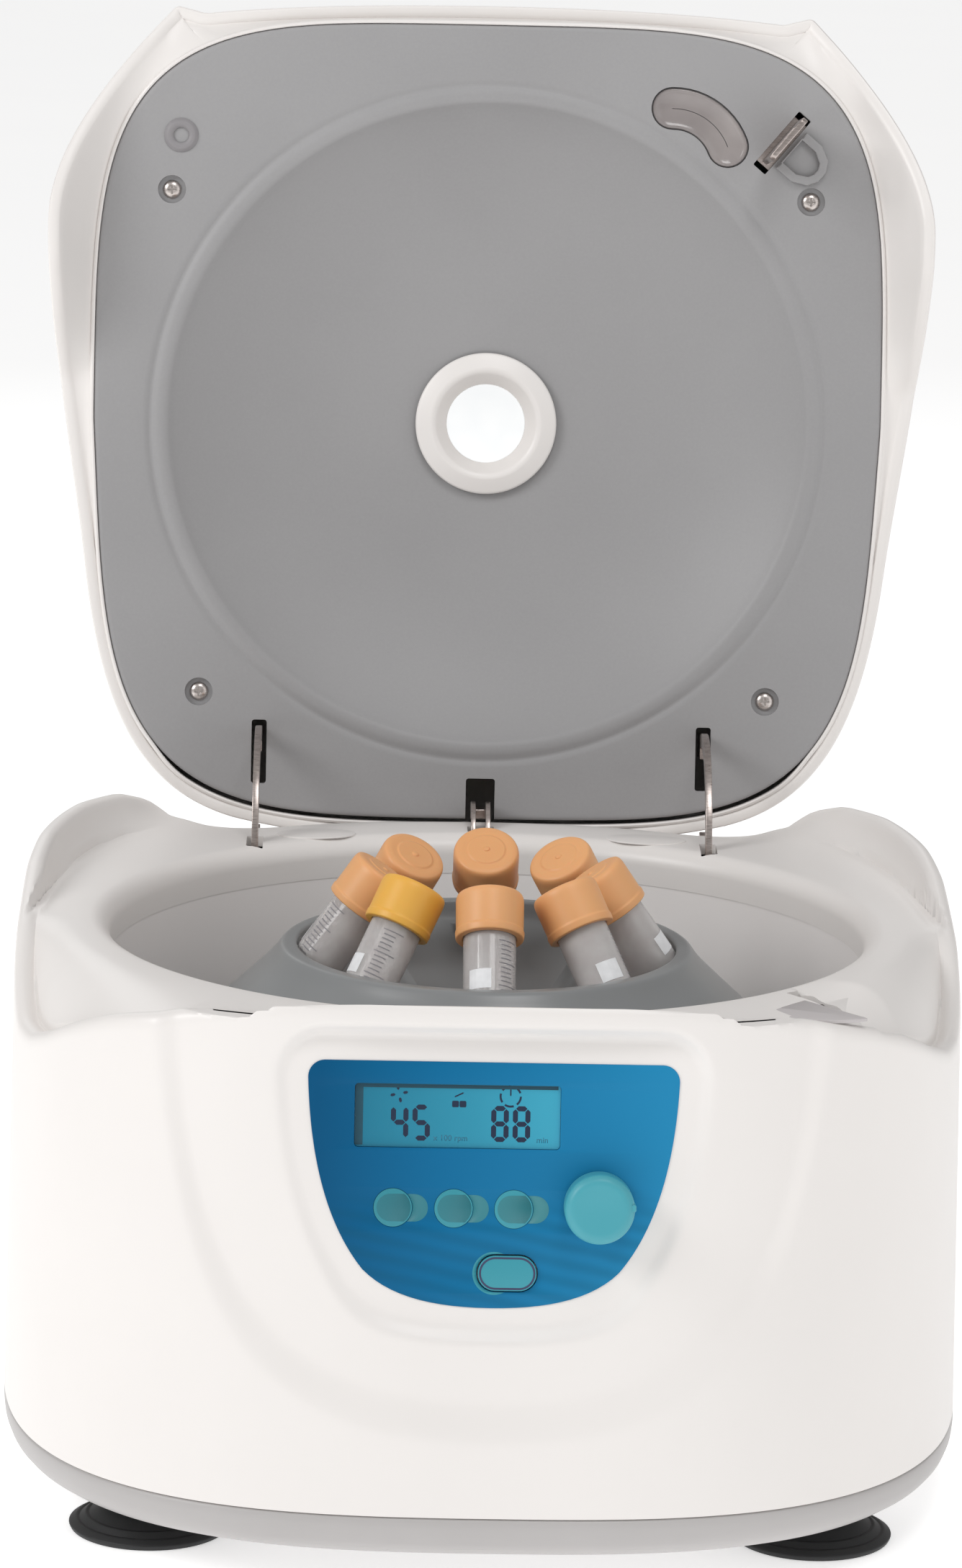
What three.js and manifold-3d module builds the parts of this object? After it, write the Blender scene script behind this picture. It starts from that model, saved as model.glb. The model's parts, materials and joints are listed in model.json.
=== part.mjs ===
// Benchtop laboratory centrifuge with its lid standing open.
// Millimetres. The spindle stands on x = 0, y = 0, the front faces -Y and the bench top is z = 0.
// Pieces of the lid are drawn in the closed position and then turned open about the hinge axis.

import * as THREE from "three";
import { mergeVertices } from "three/addons/utils/BufferGeometryUtils.js";
import Module from "manifold-3d";

const wasm = await Module();
wasm.setup();

// ---- Driving dimensions -------------------------------------------------------------------------
const HALF_WIDTH = 151.5; // body, from the spindle to either side, at the seam
const FRONT_DEPTH = 166; // spindle to the front at the seam
const REAR_DEPTH = 185; // spindle to the back
const SQUARENESS = 2.85; // exponent of the body's superellipse outline
const FRONT_LEAN = 18.5; // how far the front leans back between the seam and the crown
const SIDE_DRAFT = 2.5;
const OUTLINE_POINTS = 40;

const TRAY_BOTTOM = 12.6;
const SEAM = 27;
const DECK = 171; // flat top round the bowl
const DECK_THICKNESS = 3.5;
const WALL = 3;
const CROWN = 178; // ridge over the control panel
const SHELF = 152; // low step behind the hinge
const CROWN_START = -126; // in front of this the deck rises to the crown
const DECK_END = 145.2; // the deck stops here and the shelf begins
const ISLAND_INSET = 7.5; // deck edge to the body's outside
const GAP = 0.3; // between touching pieces

const BOWL_RADIUS = 120;
const BOWL_FLOOR = 78;
const DECK_HOLE_RADIUS = 122;

const AXIS_Y = 141; // lid hinge axis
const AXIS_Z = 164.5;
const OPEN_ANGLE = 98;
const LID_PLANE = 172.5; // underside of the closed lid
const LID_SHIFT = -2; // middle of the lid's dish, in front of the spindle
const LID_TOP = 222;
const LINER_THICKNESS = 3.5;
const DISH_RADIUS = 110;
const DISH_DEPTH = 29;

const ARM_X = 76.5;
const ARM_RADIUS = 36;
const CENTRE_ARM_RADIUS = 11.8;
const HINGE_SHAFT_RADIUS = 2;

const ROTOR_TOP = 162.6;
const ROTOR_BOTTOM = 84;
const TUBE_COUNT = 8;
const TUBE_LEAN = 35; // degrees from upright
const CAP_RADIUS_ON_ROTOR = 36.5; // spindle to the middle of a cap
const CAP_HEIGHT = 180.5; // bench to the middle of a cap
const TUBE_LENGTH = 119;
const CAP_TO_TIP = 112;

const LATCH = new THREE.Vector2(99, -100); // middle of the latch slot
const LATCH_ANGLE = -50;
const LATCH_RECESS_RADIUS = 25;

const PANEL_LEAN = 9.5;
const PANEL_FOOT = new THREE.Vector3(0, -152.5, 88.2);
const PANEL_HEIGHT = 73;
const PANEL_THICKNESS = 2.5;

// ---- Solids -------------------------------------------------------------------------------------
function solid(geometry) {
  const bare = geometry.index ? geometry.toNonIndexed() : geometry.clone();
  const points = new THREE.BufferGeometry();
  points.setAttribute("position", bare.getAttribute("position"));
  const merged = mergeVertices(points, 1e-4);
  return new wasm.Manifold(
    new wasm.Mesh({
      numProp: 3,
      vertProperties: merged.attributes.position.array,
      triVerts: new Uint32Array(merged.index.array),
    }),
  );
}

function join(...geometries) {
  const all = geometries.map(solid);
  return shapeOf(all.reduce((sum, next) => sum.add(next)));
}

function cut(geometry, ...tools) {
  return shapeOf(tools.map(solid).reduce((left, tool) => left.subtract(tool), solid(geometry)));
}

function common(a, b) {
  return shapeOf(solid(a).intersect(solid(b)));
}

function shapeOf(manifold) {
  const mesh = manifold.getMesh();
  const geometry = new THREE.BufferGeometry();
  geometry.setAttribute("position", new THREE.BufferAttribute(new Float32Array(mesh.vertProperties), 3));
  geometry.setIndex(new THREE.BufferAttribute(new Uint32Array(mesh.triVerts), 1));
  return geometry;
}

// A box given by its lowest and highest corners.
function box(low, high) {
  const size = high.map((value, i) => value - low[i]);
  const middle = high.map((value, i) => (value + low[i]) / 2);
  return new THREE.BoxGeometry(...size).translate(...middle);
}

// An upright round bar between two heights.
function bar(radius, low, high, x = 0, y = 0, sides = 24) {
  return new THREE.CylinderGeometry(radius, radius, high - low, sides)
    .rotateX(Math.PI / 2)
    .translate(x, y, (low + high) / 2);
}

// A round bar along X.
function crossBar(radius, from, to, y, z, sides = 14) {
  return new THREE.CylinderGeometry(radius, radius, to - from, sides)
    .rotateZ(Math.PI / 2)
    .translate((from + to) / 2, y, z);
}

// A body of revolution about Z from [radius, height] pairs that start and end on the axis or close.
function turned(profile, sides = 40) {
  const points = profile.map(([radius, height]) => new THREE.Vector2(radius, height));
  return new THREE.LatheGeometry(points, sides).rotateX(Math.PI / 2);
}

// A flat shape in XY, standing from one height to another.
function standing(shape, low, high, steps = 10) {
  const settings = { depth: high - low, bevelEnabled: false, curveSegments: steps };
  return new THREE.ExtrudeGeometry(shape, settings).translate(0, 0, low);
}

// Closed skin over rings with the same number of points, each ring running anticlockwise seen from above.
function loft(rings, lowMiddle, highMiddle) {
  const count = rings[0].length;
  const position = rings.flat().flatMap((p) => [p.x, p.y, p.z]);
  position.push(...lowMiddle.toArray(), ...highMiddle.toArray());
  const low = rings.length * count;
  const high = low + 1;
  const index = [];
  for (let i = 0; i < count; i++) {
    const next = (i + 1) % count;
    for (let r = 0; r < rings.length - 1; r++) {
      const a = r * count;
      const b = a + count;
      index.push(a + i, a + next, b + next, a + i, b + next, b + i);
    }
    const top = (rings.length - 1) * count;
    index.push(low, next, i, high, top + i, top + next);
  }
  const geometry = new THREE.BufferGeometry();
  geometry.setAttribute("position", new THREE.Float32BufferAttribute(position, 3));
  geometry.setIndex(index);
  return geometry;
}

// Height read off a list of [y, z] stations, eased from one to the next.
function readHeight(stations, y) {
  if (y <= stations[0][0]) return stations[0][1];
  const i = stations.findIndex(([at]) => at >= y);
  if (i < 0) return stations[stations.length - 1][1];
  const [y0, z0] = stations[i - 1];
  const [y1, z1] = stations[i];
  return z0 + (z1 - z0) * THREE.MathUtils.smoothstep(y, y0, y1);
}

// ---- Outlines -----------------------------------------------------------------------------------
// The line on which the closed lid meets the body, as height against y: high over the panel,
// low at the finger grips, high again along the wings and down to the shelf behind the hinge.
const SEAT_LINE = [
  [-144, CROWN], [-133, 171.5], [-118, 167], [-104, 161], [-78, 150], [-58, 149], [-14, 172],
  [30, 182], [75, 185], [132, 181.5], [145, 177], [151, 172], [157, 166], [164, 158], [170, SHELF],
];

// A point of the body's outline at an angle, height and inset.
function bodyPoint(angle, z, inset) {
  const rise = (z - SEAM) / (CROWN - SEAM);
  const halfWidth = HALF_WIDTH - SIDE_DRAFT * rise - inset;
  const depth = Math.sin(angle) < 0 ? FRONT_DEPTH - FRONT_LEAN * rise - inset : REAR_DEPTH - inset;
  const round = (value) => Math.sign(value) * Math.abs(value) ** (2 / SQUARENESS);
  return new THREE.Vector3(halfWidth * round(Math.cos(angle)), depth * round(Math.sin(angle)), z);
}

// A ring of the body, with the height of each point given by a function of its y.
function bodyRing(heightAt, inset = 0) {
  const ring = [];
  for (let i = 0; i < OUTLINE_POINTS; i++) {
    const angle = (i / OUTLINE_POINTS) * 2 * Math.PI;
    const z = heightAt(bodyPoint(angle, DECK, inset).y);
    ring.push(bodyPoint(angle, z, inset));
  }
  return ring;
}

// Right half of the lid's outline, from the front middle to the back middle, then mirrored.
function lidOutline(inset, heightAt = () => 0) {
  const right = new THREE.Path();
  right.moveTo(0, -143);
  right.quadraticCurveTo(60, -143, 99, -138.5);
  right.lineTo(109, -141);
  right.bezierCurveTo(122, -126, 150.5, -96, 150.5, -66);
  right.bezierCurveTo(150.5, -25, 142, 14, 137.5, 50);
  right.bezierCurveTo(131.5, 100, 118, 128, 85, 137);
  right.quadraticCurveTo(50, 145, 0, 145);
  const points = right.getPoints(5);
  const mirrored = points.slice(1, -1).reverse().map((p) => new THREE.Vector2(-p.x, p.y));
  const loop = [...points, ...mirrored];
  return loop.map((point, i) => {
    const before = loop[(i + loop.length - 1) % loop.length];
    const after = loop[(i + 1) % loop.length];
    const along = after.clone().sub(before).normalize();
    const x = point.x - along.y * inset;
    const y = point.y + along.x * inset + LID_SHIFT;
    return new THREE.Vector3(x, y, heightAt(y));
  });
}

// Flat shape of the grey liner, a rounded square, grown or shrunk by an offset.
function linerShape(offset = 0) {
  const shape = new THREE.Shape();
  const points = [];
  for (let i = 0; i < OUTLINE_POINTS; i++) {
    const angle = (i / OUTLINE_POINTS) * 2 * Math.PI;
    const round = (value) => Math.sign(value) * Math.abs(value) ** (2 / 4.2);
    const y = (136 + offset) * round(Math.sin(angle));
    const taper = 1 - 0.0004 * Math.max(0, y);
    const x = (135 + offset) * round(Math.cos(angle)) * taper;
    points.push(new THREE.Vector2(x, y + LID_SHIFT));
  }
  return shape.setFromPoints(points);
}

function rectangle(width, height, corner) {
  const shape = new THREE.Shape();
  const w = width / 2;
  const h = height / 2;
  shape.moveTo(w - corner, -h);
  shape.absarc(w - corner, corner - h, corner, -Math.PI / 2, 0);
  shape.absarc(w - corner, h - corner, corner, 0, Math.PI / 2);
  shape.absarc(corner - w, h - corner, corner, Math.PI / 2, Math.PI);
  shape.absarc(corner - w, corner - h, corner, Math.PI, Math.PI * 1.5);
  return shape;
}

// ---- Body shell ---------------------------------------------------------------------------------
const middleAt = (z) => new THREE.Vector3(0, 0, z);

function bodyBlock(inset, low, drop, highest) {
  const topAt = (y) => Math.min(readHeight(SEAT_LINE, y) - drop, highest);
  const rings = [0, 0.96].map((part) =>
    bodyRing((y) => THREE.MathUtils.lerp(low, topAt(y), part), inset),
  );
  rings.push(bodyRing(topAt, inset + 3));
  return loft(rings, middleAt(low), middleAt(SHELF - drop));
}

function islandBlock(inset, low, high) {
  const ring = (z) => bodyRing(() => z, ISLAND_INSET + inset);
  const block = loft([ring(low), ring(high)], middleAt(low), middleAt(high));
  const stepY = DECK_END - inset / 2;
  return cut(block, box([-200, stepY, SHELF - inset], [200, 250, 300]));
}

// Space that the lid sweeps over the deck, with room for its back corners as it swings up.
function nestBlock() {
  const nest = standing(linerShape(3), DECK, 230);
  const floorAt = (y) => (y > CROWN_START ? DECK : Math.max(readHeight(SEAT_LINE, y), DECK));
  const floor = lidOutline(-1.5, floorAt);
  const ceiling = lidOutline(-1.5, () => 230);
  const rim = loft([floor, ceiling], middleAt(DECK), middleAt(230));
  const swept = common(rim.clone().translate(0, 5, 0), box([-200, 40, DECK], [200, 200, 230]));
  const behind = box([-109, 90, DECK], [109, 152, 230]);
  return join(nest, rim, swept, behind);
}

// Turns a geometry drawn flat (x across, y up the slope, z out of the face) onto the panel plane.
function ontoPanel(geometry) {
  return geometry
    .rotateX(Math.PI / 2 - THREE.MathUtils.degToRad(PANEL_LEAN))
    .translate(PANEL_FOOT.x, PANEL_FOOT.y, PANEL_FOOT.z);
}

function panelShape(grow = 0) {
  const half = 55 + grow;
  const top = PANEL_HEIGHT + grow;
  const corner = 5 + grow;
  const low = 11 - grow * 0.7;
  const foot = -grow;
  const shape = new THREE.Shape();
  shape.moveTo(0, foot);
  shape.quadraticCurveTo(26 + grow, foot, 38 + grow * 0.8, low);
  shape.bezierCurveTo(48 + grow, 23, half - 1, 42, half, top - corner);
  shape.quadraticCurveTo(half, top, half - corner, top);
  shape.lineTo(corner - half, top);
  shape.quadraticCurveTo(-half, top, -half, top - corner);
  shape.bezierCurveTo(1 - half, 42, -48 - grow, 23, -38 - grow * 0.8, low);
  shape.quadraticCurveTo(-26 - grow, foot, 0, foot);
  return shape;
}

const POCKET_GROW = 11;
const BACKING = 6;

// Panel-plane prism between two depths, negative being behind the face.
function panelBlock(shape, low, high, steps = 5) {
  return ontoPanel(standing(shape, low, high, steps));
}

function slotBox(length, width, low, high) {
  return new THREE.BoxGeometry(length, width, high - low)
    .rotateZ(THREE.MathUtils.degToRad(LATCH_ANGLE))
    .translate(LATCH.x, LATCH.y, (low + high) / 2);
}

// Half disc on one side of the latch slot: side -1 is towards the panel, 1 towards the wing.
function latchHalf(side, radius, low, high) {
  const disc = bar(radius, low, high, LATCH.x, LATCH.y, 24);
  const keep = new THREE.BoxGeometry(80, 60, high - low + 2)
    .translate(0, side * (30 + 4), 0)
    .rotateZ(THREE.MathUtils.degToRad(LATCH_ANGLE))
    .translate(LATCH.x, LATCH.y, (low + high) / 2);
  return cut(common(disc, keep), bar(129.5, low - 1, high + 1, 0, 0, 40));
}

function deckCuts() {
  const cuts = [
    bar(DECK_HOLE_RADIUS, 140, 230, 0, 0, 40),
    turned([[0, 160], [118, 160], [127, DECK + 0.2], [127, 190], [0, 190]], 40),
    slotBox(24, 5.5, 120, 200),
    latchHalf(-1, LATCH_RECESS_RADIUS, DECK - 1.5, 200),
    box([-4.5, 126.5, 150], [4.5, 135, 200]),
  ];
  const dish = new THREE.SphereGeometry(60, 24, 32).translate(LATCH.x, LATCH.y, DECK + 55.5);
  cuts.push(common(dish, latchHalf(1, 30, DECK - 6, DECK + 1)));
  for (const side of [-1, 1]) {
    const x = side * ARM_X;
    cuts.push(box([x - 2.8, 98.5, 150], [x + 2.8, 113.5, 200]));
    cuts.push(box([x - 3.5, 134, 146], [x + 3.5, 149, 169.6]));
  }
  cuts.push(box([-6, 134, 146], [6, 149, 169.6]), box([-6, 134, 158], [38, 146, 169.6]));
  return cuts;
}

const INLET_X = [34, 92];
const INLET_Z = [46, 92];
const INLET_FACE = 174;

function buildHousing() {
  const outer = join(bodyBlock(0, SEAM + GAP, 0, 400), islandBlock(0, SEAM + 20, DECK));
  const hollow = bodyBlock(WALL, SEAM - 5, DECK_THICKNESS, DECK - DECK_THICKNESS);
  const deckHollow = islandBlock(DECK_THICKNESS, SEAM - 5, DECK - DECK_THICKNESS);
  const shell = cut(outer, hollow, deckHollow);
  const pad = common(outer, panelBlock(panelShape(POCKET_GROW + 2), -BACKING, 40));
  const rim = 4;
  const low = [INLET_X[0] - rim, INLET_FACE - rim, INLET_Z[0] - rim];
  const rearPad = common(outer, box(low, [INLET_X[1] + rim, 200, INLET_Z[1] + rim]));
  return cut(
    join(shell, pad, rearPad),
    nestBlock(),
    ...deckCuts(),
    panelBlock(panelShape(POCKET_GROW), 0, 60),
    panelBlock(panelShape(GAP), -PANEL_THICKNESS - GAP, 10),
    panelBlock(panelShape(-4), -BACKING - 20, 10),
    box([INLET_X[0], INLET_FACE, INLET_Z[0]], [INLET_X[1], 220, INLET_Z[1]]),
    box([INLET_X[0] + 3, 100, INLET_Z[0] + 3], [INLET_X[1] - 3, 220, INLET_Z[1] - 3]),
  );
}

const FEET = {
  front_left: [-102, -98],
  front_right: [102, -98],
  rear_left: [-102, 122],
  rear_right: [102, 122],
};

function buildTray() {
  const ring = (z, inset) => bodyRing(() => z, inset);
  const outside = [ring(TRAY_BOTTOM, 11), ring(14.5, 5), ring(18, 1.5), ring(SEAM, 0)];
  const inside = [ring(TRAY_BOTTOM + WALL, 9), ring(20, 4), ring(SEAM + 5, 3)];
  return cut(
    loft(outside, middleAt(TRAY_BOTTOM), middleAt(SEAM)),
    loft(inside, middleAt(TRAY_BOTTOM + WALL), middleAt(SEAM + 5)),
    ...Object.values(FEET).map(([x, y]) => bar(4.4, 0, 40, x, y, 16)),
  );
}

// Suction-cup foot: a flared rubber skirt, a neck, and the stud that passes through the tray.
function buildFoot() {
  return turned(
    [[0, 3], [17, 3], [20, 0], [24.5, 0], [25, 1.6], [15, 6.5], [11, 12.3], [4, 12.3], [4, 18], [0, 18]],
    20,
  );
}

// ---- Bowl and drive -----------------------------------------------------------------------------
const GAITER_RADIUS = 29;

function buildBowl() {
  const r = BOWL_RADIUS;
  const floor = BOWL_FLOOR;
  return turned(
    [
      [GAITER_RADIUS + GAP, floor - 1.5], [r - 19, floor - 1.5], [r - 4, floor + 7], [r + 1.5, floor + 22],
      [r + 1.5, 165], [r + 5.5, 165], [r + 5.5, 166.6], [r, 166.6],
      [r, floor + 22], [r - 5.5, floor + 8], [r - 19, floor], [GAITER_RADIUS + GAP, floor],
      [GAITER_RADIUS + GAP, floor - 1.5],
    ],
    40,
  );
}

function buildGaiter() {
  const r = GAITER_RADIUS;
  return turned([[9, 72], [14, 71], [20, 76], [r, 75], [r, 79.5], [20, 80], [14, 76], [9, 81], [9, 72]], 24);
}

function buildMotor() {
  return turned([[0, 28.6], [44, 28.6], [44, 60], [38, 66], [16, 66], [16, 69], [0, 69]], 36);
}

const MOTOR_MOUNT_CIRCLE = 50;
const MOTOR_MOUNTS = [0, 1, 2].map((i) => {
  const angle = Math.PI / 2 + (i * 2 * Math.PI) / 3;
  return [MOTOR_MOUNT_CIRCLE * Math.cos(angle), MOTOR_MOUNT_CIRCLE * Math.sin(angle)];
});

function buildMotorPlate() {
  const [low, high] = [25.3, 28.3];
  const corners = MOTOR_MOUNTS.map(([x, y]) => bar(13, low, high, x, y, 20));
  return join(bar(49, low, high, 0, 0, 36), ...corners);
}

function buildShaft() {
  const step = 131; // below it the rotor sits on the shaft, above it the nut
  return turned([[0, 69.3], [6, 69.3], [6, step - 0.2], [4, step + 0.2], [4, 144], [0, 144]], 20);
}

function tubeProfile(grow) {
  const r = 8.3 + grow;
  return [[0, -grow], [1.6 + grow, -grow], [r, 24], [r, 103.5]];
}

// Closed 15 ml tube with its screw cap, tip at z = 0.
function buildTube() {
  const cap = [[10.9, 103.5], [10.9, 116], [9.8, TUBE_LENGTH], [0, TUBE_LENGTH]];
  return turned([...tubeProfile(0), ...cap], 10);
}

// Places a geometry whose axis is +Z, tip at the origin, in one of the rotor's tube seats.
function inSeat(geometry, seat) {
  const lean = THREE.MathUtils.degToRad(TUBE_LEAN);
  const tipRadius = CAP_RADIUS_ON_ROTOR + CAP_TO_TIP * Math.sin(lean);
  const tipHeight = CAP_HEIGHT - CAP_TO_TIP * Math.cos(lean);
  return geometry
    .rotateY(-lean)
    .translate(tipRadius, 0, tipHeight)
    .rotateZ((seat * 2 * Math.PI) / TUBE_COUNT);
}

function buildRotor() {
  const body = turned(
    [
      [6.3, 104], [15, 104], [15, 119.5], [46, 141], [87, ROTOR_BOTTOM], [110, ROTOR_BOTTOM],
      [111, 112], [108, 120], [66.5, ROTOR_TOP - 1], [65, ROTOR_TOP], [60.3, ROTOR_TOP], [60.3, 156],
      [52, 152.2], [15, 126.3], [13, 131], [6.3, 131], [6.3, 104],
    ],
    36,
  );
  const seats = [];
  for (let seat = 0; seat < TUBE_COUNT; seat++) {
    const profile = [...tubeProfile(0.5), [8.8, 130], [0, 130]];
    seats.push(inSeat(turned(profile, 10), seat));
  }
  return cut(body, ...seats);
}

function buildRotorNut() {
  const [bore, foot, top] = [4.4, 131.4, 142.5];
  return turned([[bore, foot], [12, foot], [13, 134], [13, 140], [10, top], [bore, top], [bore, foot]], 24);
}

// ---- Control panel ------------------------------------------------------------------------------
const LCD = { x: -10.6, y: 56.8, width: 61, height: 19 };
const BUTTONS = { speed_button: -29.3, time_button: -11.3, mode_button: 6.5 };
const BUTTON_Y = 29.5;
const START = { x: 4.9, y: 10.5, width: 17.4, height: 10.4 };
const KNOB = { x: 31.6, y: 31, radius: 10.8 };

function faceDisc(radius, low, high, x, y, sides = 20) {
  return ontoPanel(bar(radius, low, high, x, y, sides));
}

function facePlate(spec, grow, low, high, corner) {
  const shape = rectangle(spec.width + 2 * grow, spec.height + 2 * grow, corner);
  return ontoPanel(standing(shape, low, high, 4).translate(spec.x, spec.y, 0));
}

function buildPanel() {
  const holes = Object.values(BUTTONS).map((x) => faceDisc(6.1, -10, 10, x, BUTTON_Y));
  return cut(
    panelBlock(panelShape(0), -PANEL_THICKNESS, 0),
    ...holes,
    facePlate(LCD, GAP, -10, 10, 1.5),
    facePlate(START, 0.4, -10, 10, 5.5),
    faceDisc(3.6, -10, 10, KNOB.x, KNOB.y),
  );
}

function buildKnob() {
  const r = KNOB.radius;
  const grip = [[0, -2.2], [3, -2.2], [3, 0.8], [r, 0.8], [r, 10.5], [r - 1.5, 12], [0, 12]];
  return ontoPanel(turned(grip, 28).translate(KNOB.x, KNOB.y, 0));
}

// ---- Latch --------------------------------------------------------------------------------------
// The latch works across the slot: u runs along the slot, w across it, and z is up.
function inLatch(geometry) {
  return geometry.rotateZ(THREE.MathUtils.degToRad(LATCH_ANGLE)).translate(LATCH.x, LATCH.y, 0);
}

const BOLT_Z = [146, 152];

function buildLatchBody() {
  const block = box([-14, -14, 136], [11, 6, 164]);
  const slot = box([-10, -2.2, 140], [9.8, 2.2, 170]);
  const channel = box([-4.3, -20, BOLT_Z[0] - 0.3], [4.3, 5, BOLT_Z[1] + 0.3]);
  return inLatch(cut(block, slot, channel));
}

function buildLatchBolt() {
  return inLatch(box([-4, -9, BOLT_Z[0]], [4, 3.5, BOLT_Z[1]]));
}

// Steel plate that drops through the deck, with the window that the bolt passes into.
function buildStriker() {
  const plate = box([-9, -1, 142], [9, 1, 178]);
  const window = box([-5.5, -3, BOLT_Z[0] - 1.2], [5.5, 3, BOLT_Z[1] + 1.2]);
  const foot = box([-10, -6, LID_PLANE + LINER_THICKNESS + GAP], [10, 6, 179]);
  return inLatch(join(cut(plate, window), foot));
}

// ---- Lid ----------------------------------------------------------------------------------------
function rimHeight(y) {
  if (y < CROWN_START) return readHeight(SEAT_LINE, y) + 1.5;
  return Math.min(LID_PLANE, readHeight(SEAT_LINE, y) + 1.5);
}

const LID_SCREWS = [[-109.4, -80], [109.4, -80], [-97.5, 91.7], [97.5, 91.7]];
const WINDOW_HOLE = 19;

function buildLidShell() {
  const level = (z, inset) => lidOutline(inset, () => z);
  const crown = [level(204, 1), level(212, 6), level(217.5, 15), level(220.5, 35)];
  const outside = [lidOutline(0, rimHeight), ...crown];
  const under = lidOutline(3, (y) => rimHeight(y) - 5);
  const inside = [under, level(203, 4), level(210, 10), level(215, 20)];
  const shell = cut(
    loft(outside, middleAt(LID_PLANE), middleAt(LID_TOP)),
    loft(inside, middleAt(LID_PLANE - 5), middleAt(LID_TOP - WALL)),
  );
  const bosses = LID_SCREWS.map(([x, y]) => bar(5, LID_PLANE + LINER_THICKNESS + GAP, 219, x, y, 14));
  const holes = LID_SCREWS.map(([x, y]) => bar(1.9, 170, 187, x, y, 12));
  return cut(join(shell, ...bosses), bar(WINDOW_HOLE, 190, 230, 0, LID_SHIFT, 32), ...holes);
}

function dishHeight(radius) {
  return LID_PLANE + DISH_DEPTH * (1 - (radius / DISH_RADIUS) ** 2.4);
}

const FRAME_RADIUS = 24.5;

function buildLiner() {
  const plate = standing(linerShape(0), LID_PLANE, LID_PLANE + LINER_THICKNESS);
  const under = [];
  for (let step = 0; step <= 5; step++) {
    const radius = THREE.MathUtils.lerp(DISH_RADIUS + 0.5, 20, step / 5);
    under.push([radius, dishHeight(Math.min(radius, DISH_RADIUS))]);
  }
  const over = under.map(([radius, z]) => [radius + 1, z + 2.6]).reverse();
  const dish = turned([...under, [20, under[5][1] + 2.6], ...over.slice(1), under[0]].reverse(), 40);
  const ring = cut(plate, bar(DISH_RADIUS - 0.2, 160, 200, 0, LID_SHIFT, 40));
  const blank = join(ring, dish.translate(0, LID_SHIFT, 0));
  const cuts = [];
  for (const [x, y] of LID_SCREWS) {
    cuts.push(bar(5, 170, LID_PLANE + 2, x, y, 16), bar(2, 170, 190, x, y, 12));
  }
  for (const side of [-1, 1]) {
    cuts.push(box([side * ARM_X - 2.6, 102, 160], [side * ARM_X + 2.6, 150, 190]));
  }
  cuts.push(box([-5, 122, 160], [5, 150, 190]));
  cuts.push(inLatch(box([-12, -2.7, 160], [12, 2.7, 190])));
  cuts.push(standing(kidneyShape(0.4), 160, LID_PLANE + 2.2));
  return cut(blank, ...cuts);
}

// Bean-shaped cover beside the dish, its middle line bent round a point.
const KIDNEY = { x: 61.8, y: -91, bend: 20, half: 6.9, from: -91.6, to: -21.6 };

function kidneyShape(grow) {
  const { x, y, bend } = KIDNEY;
  const half = KIDNEY.half + grow;
  const from = THREE.MathUtils.degToRad(KIDNEY.from);
  const to = THREE.MathUtils.degToRad(KIDNEY.to);
  const shape = new THREE.Shape();
  const turn = (angle) => [x + bend * Math.cos(angle), y + bend * Math.sin(angle)];
  shape.absarc(x, y, bend + half, from, to, false);
  shape.absarc(...turn(to), half, to, to + Math.PI, false);
  shape.absarc(x, y, bend - half, to, from, true);
  shape.absarc(...turn(from), half, from + Math.PI, from + 2 * Math.PI, false);
  return shape;
}

function buildWindowFrame() {
  const base = dishHeight(FRAME_RADIUS) - 3.2;
  return turned(
    [
      [13.5, base - 0.5], [18, base - 1.5], [FRAME_RADIUS, base + 0.6], [FRAME_RADIUS, base + 2],
      [18.6, base + 2.2], [18.6, LID_TOP + 0.6], [16, LID_TOP + 0.6], [16, 205], [13.5, 205],
      [13.5, base - 0.5],
    ],
    28,
  ).translate(0, LID_SHIFT, 0);
}

function buildScrew() {
  return turned([[0, 0], [3, 0], [3.4, 0.6], [3.4, 1.5], [1.5, 1.5], [1.5, 12], [0, 12]], 14);
}

// Goose-neck arm in the YZ plane: an arc round the hinge axis, so that it always passes through
// the same slot in the deck, with a neck to the shaft at one end and a tab into the lid at the other.
function armShape(radius, halfBand, hub, firstAngle, lastAngle) {
  const at = (angle, r) => [-r * Math.cos(angle), r * Math.sin(angle)];
  const from = THREE.MathUtils.degToRad(firstAngle);
  const to = THREE.MathUtils.degToRad(lastAngle);
  const band = new THREE.Shape();
  const steps = 10;
  const edge = (r, reverse) => {
    const list = [];
    for (let i = 0; i <= steps; i++) {
      const part = reverse ? 1 - i / steps : i / steps;
      list.push(new THREE.Vector2(...at(from + (to - from) * part, r)));
    }
    return list;
  };
  band.setFromPoints([...edge(radius + halfBand, false), ...edge(radius - halfBand, true)]);
  const neck = new THREE.Shape();
  const side = Math.min(halfBand, hub * 0.6);
  const [ny, nz] = [Math.sin(from), Math.cos(from)];
  const corner = (r, s) => {
    const [y, z] = at(from + 0.05, r);
    return new THREE.Vector2(y + s * side * ny, z + s * side * nz);
  };
  neck.setFromPoints([corner(0, 1), corner(radius, 1), corner(radius, -1), corner(0, -1)]);
  return { band, neck };
}

// Extrudes a YZ shape to a thickness along X, centred at x, about the hinge axis.
function acrossHinge(shape, thickness, x) {
  const settings = { depth: thickness, bevelEnabled: false, curveSegments: 8 };
  const flat = new THREE.ExtrudeGeometry(shape, settings).translate(0, 0, -thickness / 2);
  const turnToX = new THREE.Matrix4().makeBasis(
    new THREE.Vector3(0, 1, 0),
    new THREE.Vector3(0, 0, 1),
    new THREE.Vector3(1, 0, 0),
  );
  return flat.applyMatrix4(turnToX).translate(x, AXIS_Y, AXIS_Z);
}

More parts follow.
